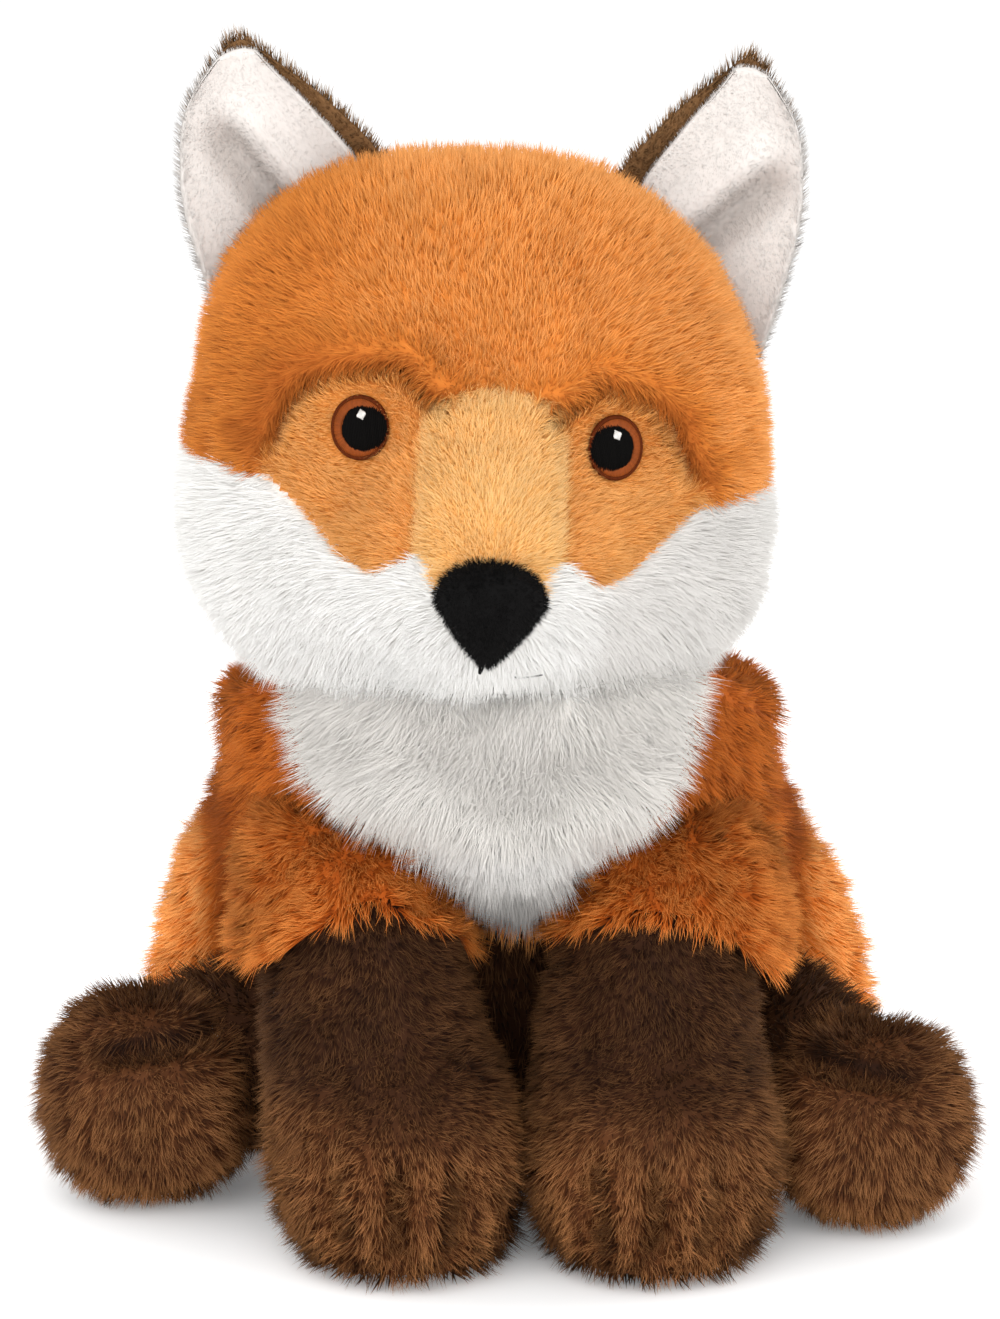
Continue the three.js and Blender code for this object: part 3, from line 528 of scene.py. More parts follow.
materials["stuffing"] = bpy.data.materials.new("stuffing")
materials["stuffing"].use_nodes = True


def dress(obj, material, slot, body, nodes):
    # a piece's material, nodes that it stands for and the body it rides on; slot is not used
    obj.data.materials.append(materials[material])
    if nodes:
        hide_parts(*nodes)
    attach(obj, body)


def filling(name, skin, body, nodes, depth=0.0024, slot="stuffing"):
    # what fills a skin, a little below its inner wall
    spots, faces, normals = skin
    inner = spots - normals * depth
    inner[:, 2] = np.maximum(inner[:, 2], fabric["filling"])
    zero = np.zeros(len(spots))
    obj = makeObject(name, inner, faces, normals, {"along": zero, "tone": zero + 0.5},
                     (np.zeros(len(spots), int), inner[:, :2] / 0.4 + 0.5))
    dress(obj, "stuffing", slot, body, nodes)


# Torso: a stuffed pear that leans back, with a long-haired bib in its chest

torso = {
    "height": 0.143, "halfWidth": 0.096, "front": 0.063, "back": 0.084,
    "aside": 0.0025, "lean": 0.005, "squareness": 2.35, "seat": 6, "top": 5.5,
    "shares": [  # height, half width, front, back
        (-0.10, 0.82, -0.10, 0.83), (0.04, 0.95, 0.05, 0.95), (0.20, 1.02, 0.18, 0.965),
        (0.38, 0.99, 0.24, 0.98), (0.54, 0.92, 0.40, 0.92), (0.68, 0.81, 0.76, 0.80),
        (0.82, 0.745, 1.00, 0.64), (0.92, 0.76, 1.00, 0.50), (0.985, 0.73, 1.02, 0.36),
        (1.02, 0.66, 1.00, 0.24)],
    "bib": [  # where its roots end, seen from the front
        (-0.0500, 0.150), (-0.0505, 0.136), (-0.0465, 0.1225), (-0.0375, 0.1155), (-0.0272, 0.1110),
        (-0.0185, 0.1060), (-0.0120, 0.0980), (-0.0085, 0.0900), (-0.0045, 0.0860), (0.0020, 0.0850),
        (0.0075, 0.0860), (0.0115, 0.0910), (0.0150, 0.1000), (0.0214, 0.1065), (0.0318, 0.1125),
        (0.0395, 0.1230), (0.0445, 0.1360), (0.0455, 0.150)],
    "bibBack": -0.034,  # it lies in front of this
    "puffs": [  # half width, from height, to height, forward: between the legs, under the chin
        (0.015, 0.084, 0.104, 0.013), (0.044, 0.102, 0.112, 0.012), (0.052, 0.128, 0.150, 0.016)],
    "rise": (0.0068, 0.0040),  # of the chest towards the chin: in the middle, and more beside it
    "belly": (0.022, 0.075, 0.02),  # half width, top and back of the brown piece between the legs, whose dark is partly painted shade of the gap there
    "covered": 0.1560,  # pile above this height would lie inside the head
    "creases": (0.071, 0.0045),  # where the painted shade beside the forelegs lies: from the middle, and half width
}


def torsoPoint(u, v):
    # a squared ring at each height, with its own half width, front and back
    s = torso
    t = (1 - np.cos(np.pi * v)) / 2
    row = alongRows(s["shares"], t)
    cap = np.where(t < 0.5, roundEnd(t, s["seat"]), roundEnd(t, s["top"]))
    height, wide = row[:, 0] * s["height"], row[:, 1] * s["halfWidth"]
    front, rear = -row[:, 2] * s["front"], row[:, 3] * s["back"]
    turn = 2 * np.pi * u
    way = np.stack([np.cos(turn), np.sin(turn)], 1)
    total = (np.abs(way[:, 0]) / wide) ** s["squareness"]
    total += (np.abs(way[:, 1]) / ((rear - front) / 2)) ** s["squareness"]
    reach = total ** (-1 / s["squareness"]) * cap
    aside = s["aside"] - s["lean"] * height / s["height"]
    x, y = aside + way[:, 0] * reach, (front + rear) / 2 + way[:, 1] * reach
    for wide, low, high, puff in s["puffs"]:
        bell = smoothStep(low - 0.025, low, height) * smoothStep(high + 0.02, high, height)
        y = y - puff * bell * bump(x - 0.002, wide, 4) * (way[:, 1] < 0) * -way[:, 1]
    rise = s["rise"][0] + s["rise"][1] * smoothStep(0.01, 0.04, np.abs(x))
    height = height + rise * smoothStep(0.118, 0.143, height) * smoothStep(-0.025, -0.060, y)
    return np.stack([x, y, height], 1)


def onTorso(p):
    return p - axisAt


def inBib(p):
    x, y, z = onTorso(p).T
    return insideOutline(x, z, torso["bib"]) & (y < torso["bibBack"]) & (z < torso["covered"])


def inBelly(p):
    wide, top, back = torso["belly"]
    x, y, z = onTorso(p).T
    return (np.abs(x - 0.002) < wide) & (z < top) & (y < back) & ~inBib(p)


def inOrange(side):
    def test(p):
        q = onTorso(p)
        own = (side * (q[:, 0] - 0.001) > 0) & (q[:, 2] < torso["covered"])
        return ~inBib(p) & ~inBelly(p) & own
    return test


def bibComb(p, n):
    # outward at the sides, down in the middle
    wide = onTorso(p)[:, 0] / 0.045
    return np.stack([1.3 * wide * np.abs(wide) ** 1.2, 0 * wide, -1 + 0 * wide], 1)


def torsoComb(p, n):
    # down, a little back and outward
    x = onTorso(p)[:, 0]
    return np.stack([x * 4, 0.3 + 0 * x, -1 + 0 * x], 1)


def bibShade(p):
    # painted light under the chin, where the head's shadow falls, and painted shade low between the legs
    z = onTorso(p)[:, 2]
    return 34 * smoothStep(0.114, 0.090, z) - 0.3 * smoothStep(0.134, 0.150, z)


def haunchShade(p):
    # painted light on the haunches, painted shade in the crease beside each foreleg, and darker higher up
    x, y, z = onTorso(p).T
    apart, wide = torso["creases"]
    beside = bump(np.abs(x - 0.001) - apart, wide) * smoothStep(0.115, 0.10, z)
    light = smoothStep(0.070, 0.090, np.abs(x)) * smoothStep(0.110, 0.085, z)
    upper = smoothStep(0.090, 0.112, z)
    return 1.2 * beside * (y < 0.01) + (0.42 * upper - 2.8 * light) * smoothStep(0.050, 0.005, y)


def bodyThin(p, n):
    # fewer, wider strands on the back and behind the forelegs
    q = onTorso(p)
    hidden = (np.abs(q[:, 0]) < 0.062) & (q[:, 2] < 0.085) & (n[:, 1] < 0)
    return np.where(hidden, 0.3, 1 - 0.58 * (n[:, 1] > 0.2))


bibPile = {
    **shortPile, "length": 0.0090, "width": 0.0003, "perMm2": 3.2, "tuft": 0.005, "gather": 0.3,
    "tousle": 0.14, "stray": 0.18, "swirl": 0.55, "swirlSize": 0.009, "lift": math.radians(50),
    "soft": 4.0, "shade": bibShade,
}
bodyPile = {
    **shortPile, "length": 0.0064, "perMm2": 1.6, "width": 0.00033, "tuft": 0.0045, "gather": 0.45,
    "tousle": 0.24, "swirl": 0.7, "swirlSize": 0.011, "stray": 0.18, "lift": math.radians(54),
    "thin": bodyThin, "shade": haunchShade,
    "longer": lambda p: 1 - 0.45 * smoothStep(0.130, 0.142, onTorso(p)[:, 2]),
}
torsoSkin = inFrame(sunken(*closedSkin(torsoPoint, 116, 68)))
obj = coat("bib", torsoSkin, bibPile, bibComb, inBib, 11)
dress(obj, "bibWhite", "white_pile", "torso", ["chest_bib"])
for side, name, seed in ((-1, "torsoLeft", 12), (1, "torsoRight", 13)):
    obj = coat(name, torsoSkin, bodyPile, torsoComb, inOrange(side), seed)
    dress(obj, "orangePile", "orange_pile", "torso", ["torso_skin"])
# brown pile between the legs: its dark colour stands partly for the deep shade in the gap there
obj = coat("belly", torsoSkin, bodyPile, torsoComb, inBelly, 14)
dress(obj, "brownPile", "brown_pile", "torso", [])
filling("torsoFilling", inFrame(sunken(*closedSkin(torsoPoint, 60, 36))), "torso", ["torso_stuffing"])
for name, node, slot, squareness in (("pelletBag", "pellet_bag", "bag_cloth", 2.6),
                                     ("neckFilling", "neck_stuffing", "stuffing", 6)):
    low, high = (np.array(corner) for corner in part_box(node))
    half = (high - low) / 2
    spots, faces = ball(lambda way: boxRadius(way, *half, squareness), 48, 32)
    spots = spots + (low + high) / 2
    filling(name, (spots, faces, normalsOf(spots, faces)), "torso", [node], 0.0, slot)
print("torso dressed")


# Head: a rounded box with puffs for muzzle, cheeks, jaws and brows, sewn from six panels

head = {
    "halfWidth": 0.072, "halfDepth": 0.058, "halfHeight": 0.067, "squareness": 2.5,
    "centre": neckSeam + (0, 0, 0.063), "roll": math.radians(4), "yaw": math.radians(2),
    "puffs": [  # direction, height, spread
        ((0, -0.93, -0.40), 0.029, 0.34),
        ((0.80, -0.45, -0.42), 0.008, 0.32), ((-0.80, -0.45, -0.42), 0.008, 0.32),
        ((0.70, -0.30, -0.75), 0.006, 0.28), ((-0.70, -0.30, -0.75), 0.006, 0.28),
        ((0.40, -0.86, 0.32), 0.003, 0.22), ((-0.40, -0.86, 0.32), 0.003, 0.22),
        ((0.46, -0.90, 0.02), -0.004, 0.17), ((-0.46, -0.90, 0.02), -0.004, 0.17)],
    "bridge": [(0, -0.7), (0.24, -0.7), (0.245, -0.31), (0.24, 0.20), (0.13, 0.23), (0, 0.24)],
    "eyePanel": {
        -1: [(0.2, 0.18), (0.27, 0.23), (0.32, 0.29), (0.42, 0.28), (0.54, 0.25), (0.64, 0.19),
             (0.70, 0.09), (0.73, -0.03), (0.75, -0.12), (0.78, -0.3), (0.5, -0.5), (0.2, -0.5)],
        1: [(0.2, 0.16), (0.29, 0.21), (0.34, 0.27), (0.42, 0.25), (0.52, 0.21), (0.60, 0.15),
            (0.64, 0.06), (0.68, -0.04), (0.72, -0.12), (0.74, -0.3), (0.5, -0.5), (0.2, -0.5)]},
    "lowerFace": [(0, -0.43), (0.17, -0.43), (0.19, -0.33), (0.22, -0.31), (0.29, -0.36),
                  (0.36, -0.41), (0.47, -0.37), (0.56, -0.28), (0.65, -0.19), (0.71, -0.14),
                  (0.84, -0.13), (1.0, -0.14), (1.4, -0.14), (1.4, -1.4)],
    "folds": [[(-0.031, -0.008), (-0.0405, -0.022)], [(0.0285, -0.009), (0.036, -0.020)]],
    "seamDent": (0.0011, 0.0016), "foldDent": (0.0012, 0.0030),  # depth, half width
    "browDent": (0.0048, 0.0016), "browSwell": (0.0022, 0.0055, 0.0040),  # height, above, half width
    "panelBack": 0.0072,  # the white panels end here at the side
    "neckHeight": 0.1432,  # no pile below this
    "nose": (0, -0.51), "eyes": {-1: (-0.448, 0.078), 1: (0.412, 0.068)},  # shares of the half sizes
    "eyeClear": 0.0070, "noseClear": 0.0092,  # no strand stands nearer
}


def turned(angle, a, b, size=3):
    # a turn from axis a towards axis b, for rows of points
    turn = np.eye(size)
    turn[a, a] = turn[b, b] = math.cos(angle)
    turn[a, b], turn[b, a] = math.sin(angle), -math.sin(angle)
    return turn


headTurn = turned(head["roll"], 0, 2) @ turned(head["yaw"], 1, 0)
headAt = head["centre"] + axisAt


def inHead(p):
    return (p - headAt) @ headTurn  # the turn is undone, because its rows and columns swap


def fromHead(p):
    return p @ headTurn.T + headAt


def headRadius(way):
    # the rounded box, and for each puff a bell over it: height exp(-gap^2 / (2 spread^2))
    total = boxRadius(way, head["halfWidth"], head["halfDepth"], head["halfHeight"], head["squareness"])
    for puff, height, spread in head["puffs"]:
        gap = ((way - unit(np.array(puff, float))) ** 2).sum(1)
        total = total + height * np.exp(-gap / (2 * spread * spread))
    return total


def onFace(wide, high, lift=0.0):
    # the place on the face at shares of the half width and half height
    aim = np.array([wide * head["halfWidth"], -head["halfDepth"], high * head["halfHeight"]])
    for _ in range(40):
        reach = headRadius(unit(aim[None]))[0]
        aim[1] = -math.sqrt(reach ** 2 - aim[0] ** 2 - aim[2] ** 2)
    return aim + unit(aim) * lift


def faceNormal(wide, high, step=0.05):
    # square to the face's slopes across and up
    across = onFace(wide + step, high) - onFace(wide - step, high)
    rise = onFace(wide, high + step) - onFace(wide, high - step)
    return unit(np.cross(across, rise))


def mirroredLine(shares):
    # a line of the right half of the face, carried on as its mirror image
    half = np.array(shares, float)
    return np.vstack([half, half[::-1][: len(half) - (half[0, 0] == 0)] * (-1, 1)])


faceScale = np.array([head["halfWidth"], head["halfHeight"]])
bridgeOutline = mirroredLine(head["bridge"]) * faceScale
lowerOutline = mirroredLine(head["lowerFace"]) * faceScale
eyeOutlines = {side: np.array(head["eyePanel"][side]) * faceScale * (side, 1) for side in (-1, 1)}
eyePlaces = {side: onFace(*head["eyes"][side]) for side in (-1, 1)}
nosePlace = onFace(*head["nose"])
bridgeSides = [np.array(head["bridge"])[1:] * faceScale * (k, 1) for k in (1, -1)]
seams = [lowerOutline[:13], lowerOutline[:13] * (-1, 1)] + bridgeSides
brows = [eyeOutlines[side][:8] for side in (-1, 1)]


def panelOf(p):
    # 0 crown, 1 white, 2 bridge, 3 left eye panel, 4 right eye panel
    x, y, z = inHead(p).T
    white = insideOutline(x, z, lowerOutline) & (y < head["panelBack"])
    bridge = insideOutline(x, z, bridgeOutline) & (y < 0) & ~white
    left, right = (insideOutline(x, z, eyeOutlines[side]) & (y < 0) & ~white & ~bridge
                   for side in (-1, 1))
    return white * 1 + bridge * 2 + left * 3 + right * 4


def inPanelOf(wanted, side=0):
    # what lies in one panel, or only in its half on one side
    def test(p):
        own = (panelOf(p) == wanted) & (p[:, 2] > head["neckHeight"])
        return own & (side * inHead(p)[:, 0] > 0) if side else own
    return test


def browGap(p):
    return np.minimum(*(gapToLine(p[:, 0], p[:, 2], line) for line in brows))


def headDents(p):
    # the seams pull in a little, the seam under each brow most, and the brow swells above it
    x, y, z = p.T
    depth = np.zeros(len(p))
    deep, wide = head["seamDent"]
    for line in seams:
        depth += deep * bump(gapToLine(x, z, line), wide)
    deep, wide = head["foldDent"]
    for fold in head["folds"]:
        depth += deep * bump(gapToLine(x, z, np.array(fold)), wide)
    deep, wide = head["browDent"]
    gap = browGap(p)
    depth += deep * bump(gap, wide)
    high, above, wide = head["browSwell"]
    depth -= (panelOf(fromHead(p)) == 0) * high * bump(gap - above, wide)
    return depth * smoothStep(0.0, -0.02, y)


def chinLift(spots):
    # how much the chin is raised
    return 0.0028 * smoothStep(-0.030, -0.058, spots[:, 2])


def headSkinOf(around, along):
    # the crown leans a little to the left, and the right side is narrower
    spots, faces = ball(headRadius, around, along)
    lean = smoothStep(0.0, 0.065, spots[:, 2])
    spots[:, 0] *= np.where(spots[:, 0] > 0, 0.955 - 0.105 * lean, 1 + 0.035 * lean)
    spots[:, 2] += chinLift(spots)
    up = np.array([0, 0, 1.0])  # sunken() has the ground at 0, so the head is held above it
    spots, faces, normals = sunken(spots + up, faces, lambda p: headDents(p - up))
    return fromHead(spots - up), faces, normals @ headTurn.T


def faceComb(p, n):
    # away from the nose, and away from an eye where one is near
    q = inHead(p)
    way = unit(q - nosePlace - (0, 0.0, 0.006))
    for side in (-1, 1):
        out = q - eyePlaces[side]
        near = bump(np.linalg.norm(out, axis=1, keepdims=True), 0.0125, 4)
        way = way * (1 - near) + unit(out) * near
    return way @ headTurn.T


def cheekComb(p, n):
    # out from the nose, turning down towards the jaw
    q = inHead(p)
    way = unit(q - nosePlace - (0, 0.0, 0.004))
    fall = smoothStep(0.0, 0.05, np.abs(q[:, 0]))
    return (way + np.stack([0 * fall, 0.3 * fall, -0.7 * fall], 1)) @ headTurn.T


def crownComb(p, n):
    # down over each brow's seam, up and outward above it, back over the head and down behind
    q = inHead(p)
    way = unit(q - (0, -0.075, 0.012))
    back = np.stack([0 * way[:, 0], 0.35 + 0 * way[:, 0], -0.7 * smoothStep(-0.02, 0.05, q[:, 1])], 1)
    near = bump(browGap(q), 0.0055)[:, None] * (q[:, 1:2] < -0.01)
    return (way + back + near * (0, -0.3, -1.2)) @ headTurn.T


def seamShade(p):
    # painted shade: strands are darker in the seam under each brow and beside the bridge
    q = inHead(p)
    shade = 1.1 * bump(browGap(q), 0.0028)
    for line in bridgeSides:
        shade += 0.35 * bump(gapToLine(q[:, 0], q[:, 2], line), 0.0012)
    return shade * (q[:, 1] < 0)


def eyeShade(p):
    # painted shade in the seams as above, and lighter beside the bridge
    return seamShade(p) - 0.35 * smoothStep(0.032, 0.018, np.abs(inHead(p)[:, 0]))


def crownShade(p):
    # painted shade in the seams and over the brows, darker towards the left, and mottled low down
    q = inHead(p)
    brow = bump(browGap(q), 0.0075) * (q[:, 1] < 0)
    low = smoothStep(0.022, 0.0, q[:, 2])
    return (seamShade(p) + 0.45 * smoothStep(-0.02, -0.05, q[:, 0]) + 0.45 * brow
            + 0.4 * low * noise(q + 1, 0.0055, 9))


def eyeGap(q):
    return np.minimum(*(np.linalg.norm(q - eyePlaces[side], axis=1) for side in (-1, 1)))


def clearOfEyes(p):
    # no strands under the eyes and the nose, whose pad narrows downwards
    q = inHead(p)
    under = (q - nosePlace) * (1, 0.6, 1)
    under[:, 0] /= np.clip(0.9 + 60 * under[:, 2], 0.35, 1)
    return (eyeGap(q) > head["eyeClear"]) & (np.linalg.norm(under, axis=1) > head["noseClear"])


def shortByEyes(p):
    return 1 - 0.5 * smoothStep(0.0115, 0.0075, eyeGap(inHead(p)))


def behindFace(p, n):
    # the back of the head has fewer, wider strands
    return 1 - 0.66 * smoothStep(-0.01, 0.01, inHead(p)[:, 1])


facePile = {**shortPile, "clear": clearOfEyes, "shade": seamShade}
crownCut = {
    **facePile, "thin": behindFace, "perMm2": 2.7, "length": 0.0052, "width": 0.00029,
    "swirl": 0.4, "stray": 0.22, "lift": math.radians(60), "gather": 0.18, "soft": 1.6,
    "shade": crownShade,
}
cheekCut = {
    **facePile, "perMm2": 3.1, "length": 0.0060, "width": 0.00028, "gather": 0.15, "swirl": 0.4,
    "swirlSize": 0.012, "lift": math.radians(56), "thin": behindFace, "soft": 4.0, "stray": 0.16,
    "longer": lambda p: 1 + 0.55 * smoothStep(-0.046, -0.056, inHead(p)[:, 2]),
    # painted shade on the right cheek, darker towards the right
    "shade": lambda p: 3.2 * smoothStep(0.015, 0.055, inHead(p)[:, 0]),
}
faceCut = {
    **facePile, "perMm2": 6.0, "length": 0.0041, "width": 0.00022, "swirl": 0.2, "tousle": 0.05,
    "gather": 0.1, "lift": math.radians(68), "stray": 0.22, "tuft": 0.003, "soft": 2.2, "ground": 0.3,
}
bridgeCut = {**faceCut, "ground": 0.38}
eyeCut = {**faceCut, "longer": shortByEyes, "shade": eyeShade}
panels = [
    ("crownLeft", 0, -1, "crownPile", "orange_pile", ["head_crown"], 20, crownComb, crownCut),
    ("crownRight", 0, 1, "crownPile", "orange_pile", [], 21, crownComb, crownCut),
    ("cheekLeft", 1, -1, "whitePile", "white_pile", ["cheek_left"], 22, cheekComb, cheekCut),
    ("cheekRight", 1, 1, "whitePile", "white_pile", ["cheek_right"], 23, cheekComb, cheekCut),
    ("bridgePanel", 2, 0, "bridgePile", "face_pile", ["muzzle_bridge"], 24, faceComb, bridgeCut),
    ("eyePanelLeft", 3, 0, "eyePile", "face_pile", ["eye_panel_left"], 25, faceComb, eyeCut),
    ("eyePanelRight", 4, 0, "eyePile", "face_pile", ["eye_panel_right"], 26, faceComb, eyeCut),
]
headSkin = headSkinOf(170, 108)
for name, wanted, side, material, slot, nodes, seed, comb, s in panels:
    obj = coat(name, headSkin, s, comb, inPanelOf(wanted, side), seed)
    dress(obj, material, slot, "head", nodes)
filling("headFilling", headSkinOf(90, 60), "head", ["head_stuffing"])


# Eyes, nose and mouth in thread

def threads(start, end, radius, lift, place, sides=5, steps=7):
    # side by side threads, raised over a dome and let into it at both ends:
    # start + (end - start) t, raised by lift(x, y) less 0.6 mm where t is 0 or 1
    n = len(start)
    t = np.linspace(0, 1, steps)
    flat = start[:, None] + (end - start)[:, None] * t[None, :, None]
    high = lift(flat[..., 0], flat[..., 1]) - 0.0006 * np.abs(2 * t - 1) ** 6
    line = np.concatenate([flat, high[..., None]], 2)
    ahead = unit(np.gradient(line, axis=1))
    side = unit(np.cross(ahead, [0, 0, 1.0]))
    up = np.cross(side, ahead)
    turn = np.arange(sides) * 2 * np.pi / sides
    taper = (1 - 0.4 * np.abs(2 * t - 1) ** 6)[None, :, None, None] * radius
    spots = (line[:, :, None] + taper * (side[:, :, None] * np.cos(turn)[:, None]
                                         + up[:, :, None] * np.sin(turn)[:, None]))
    spots = np.concatenate([spots.reshape(n, -1, 3), line[:, :1], line[:, -1:]], 1)
    m = steps * sides
    i, j = (x.ravel() for x in np.meshgrid(np.arange(sides), np.arange(steps - 1)))
    a, b = j * sides + i, j * sides + (i + 1) % sides
    k = np.arange(sides)
    ends = [np.stack([k * 0 + m, (k + 1) % sides, k], 1),
            np.stack([k * 0 + m + 1, m - sides + k, m - sides + (k + 1) % sides], 1)]
    shape = np.vstack(quads(a, b, b + sides, a + sides) + ends)
    faces = (np.arange(n)[:, None, None] * (m + 2) + shape).reshape(-1, 3)
    spots = place(spots.reshape(-1, 3))
    return spots, facingOut(spots, faces), np.repeat(np.arange(n), m + 2)


def threadPiece(name, parts, material, slot, node, seed):
    # threads as one piece of the head, each with its own tone
    spots, faces, which = parts
    rng = np.random.default_rng(seed)
    tone = rng.uniform(0, 1, which.max() + 1)[which]
    obj = makeObject(name, spots, faces, normalsOf(spots, faces),
                     {"along": np.full(len(spots), 0.7), "tone": tone}, (which, 0.5 + 0 * spots[:, :2]))
    dress(obj, material, slot, "head", [node] if node else [])


def joined(*groups):
    # several sets of spots, faces and strand numbers as one
    spots, faces, which, n, m = [], [], [], 0, 0
    for a, b, c in groups:
        spots.append(a)
        faces.append(b + n)
        which.append(c + m)
        n, m = n + len(a), m + c.max() + 1
    return np.vstack(spots), np.vstack(faces), np.concatenate(which)


eye = {
    "iris": 0.0068, "pupil": (0.0055, 0.0056), "thread": 0.00026, "tall": 1.06,
    "inward": 0.0016,  # of the pupil and the glint, towards the nose
    "sunk": 0.0010, "dome": 0.0013,
    "pad": (0.97, 0.0022, 2.2), "padDepth": 0.0018,  # under the iris: width, thickness, squareness
    "turn": 0.2, "tilt": math.radians(24),  # of the pupil's threads and the glint's
    "glint": {-1: (-0.0008, 0.0031), 1: (0.0009, 0.0029)}, "glintHalf": (0.0011, 0.0013),
    "raised": {"iris": 0, "line": 0.0001, "pupil": 0.0004, "glint": 0.0008},  # each over the dome
}


def eyePlacer(side):
    # from the eye's own frame (across, up, out) to the frame
    out = faceNormal(*head["eyes"][side])
    up = unit(np.array([0, 0, 1.0]) - out[2] * out)
    across = np.cross(up, out)

    def place(p):
        return fromHead(eyePlaces[side] + p[:, :1] * across + eye["tall"] * p[:, 1:2] * up
                        + (p[:, 2:] - eye["sunk"]) * out)
    return place


def onCircle(radius, count):
    # places evenly round a circle
    turn = np.linspace(0, 2 * np.pi, count, endpoint=False)
    return radius * np.stack([np.cos(turn), np.sin(turn)], 1)


def threadEnds(x, ys, half, angle, middle):
    # where the threads across a tilted shape start and end
    return (np.stack([x, y], 1) * half @ turned(angle, 0, 1, 2) + middle for y in ys)


def dressEye(side, word):
    s = eye
    place = eyePlacer(side)

    def over(what):
        # dome (1 - r^2 / iris^2), less 0.6 mm, and the height of each part over it
        return lambda x, y: (s["dome"] * (1 - (x * x + y * y) / s["iris"] ** 2) - 0.0006
                             + s["raised"][what])

    ring = threads(onCircle(s["iris"] * 0.62, 96), onCircle(s["iris"] * 0.985, 96), s["thread"],
                   over("iris"), place)
    share, thick, squareness = s["pad"]
    wide = s["iris"] * share
    spots, faces = ball(lambda way: boxRadius(way, wide, thick, wide, squareness), 48, 24)
    spots = place(spots[:, [0, 2, 1]] * (1, 1, -1) - (0, 0, s["padDepth"]))
    ring = joined(ring, (spots, facingOut(spots, faces), np.zeros(len(spots), int)))
    threadPiece(f"irisThreads_{word}", ring, "irisThread", "iris_thread", f"iris_{word}", 101)
    # a dark thread ring round the iris: its darker outer edge, and partly painted shade where the eye lies
    # sunk in the pile
    line = threads(onCircle(s["iris"] * 0.95, 110), onCircle(s["iris"] * 1.06, 110), s["thread"],
                   over("line"), place)
    threadPiece(f"eyeLine_{word}", line, "darkThread", "black_thread", None, 102)

    x = np.linspace(-0.96, 0.96, 27)
    reach = np.sqrt(1 - x * x)
    rough = np.random.default_rng(7).uniform(-0.05, 0.03, (2, 27))
    shift = (-side * s["inward"], 0)
    ends = threadEnds(x, (-reach + rough[0], reach - rough[1]), s["pupil"], s["turn"], shift)
    pupil = threads(*ends, s["thread"], over("pupil"), place, steps=11)
    threadPiece(f"pupilThreads_{word}", pupil, "blackThread", "black_thread", f"pupil_{word}", 103)

    x = np.linspace(-0.8, 0.8, 7)
    reach = 1.02 - np.abs(x)
    middle = np.array(s["glint"][side]) + shift
    ends = threadEnds(x, (-reach, reach), s["glintHalf"], s["tilt"], middle)
    glint = threads(*ends, s["thread"] * 0.9, over("glint"), place)
    threadPiece(f"glintThreads_{word}", glint, "whiteThread", "white_thread", f"glint_{word}", 104)


for side, word in sides:
    dressEye(side, word)

nose = {
    "half": (0.0129, 0.009, 0.0119), "squareness": 2.35, "sink": 0.004,
    "middle": 0.86, "slope": 0.60,  # width at half height, and how much it grows above it
    "shift": (0.0008, -0.0009, 0.0003), "back": 0.008,
    "pile": {**shortPile, "length": 0.0017, "width": 0.00024, "perMm2": 6.0,
             "lift": math.radians(55), "uneven": 0.2, "stray": 0.3, "tuft": 0.002, "gather": 0.1,
             "tousle": 0.1, "swirl": 0.3, "swirlSize": 0.006},
}
spots, faces = ball(lambda way: boxRadius(way, *nose["half"], nose["squareness"]), 60, 38)
spots[:, 0] *= np.minimum(nose["middle"] + nose["slope"] * spots[:, 2] / nose["half"][2], 1)
spots = fromHead(spots + nose["shift"] + onFace(*head["nose"], -nose["sink"]))
obj = coat("nosePad", (spots, faces, normalsOf(spots, faces)), nose["pile"],
           lambda p, n: np.tile([0, 0, -1.0], (len(p), 1)),
           lambda p: inHead(p)[:, 1] < nosePlace[1] + nose["back"], 105)
dress(obj, "noseVelour", "nose_velour", "head", ["nose_pad"])

mouth = [  # radius, lift and the line in shares of the face: a dash, and the stroke under the nose
    (0.00024, -0.0016, [(0.11, -0.808), (0.15, -0.814), (0.19, -0.810), (0.22, -0.802)]),
    (0.0006, -0.0004, [(0.0, -0.65), (0.0, -0.71), (0.0, -0.765)]),
]


def faceThread(radius, lift, shares):
    # a thread along a line on the face
    rows = [(*(onFace(wide, high, lift)), radius, radius) for wide, high in shares]
    spots, faces = tube(rows, (0, 1, 0.3), 4, 8, 30)
    spots[:, 2] += chinLift(spots)
    return fromHead(spots), faces, np.zeros(len(spots), int)


threadPiece("mouthThread", joined(*(faceThread(*stroke) for stroke in mouth)), "blackThread",
            "black_thread", "mouth_thread", 106)
print("face dressed")


# Forelegs: a sleeve of body fabric over a long brown sock with a soft paw

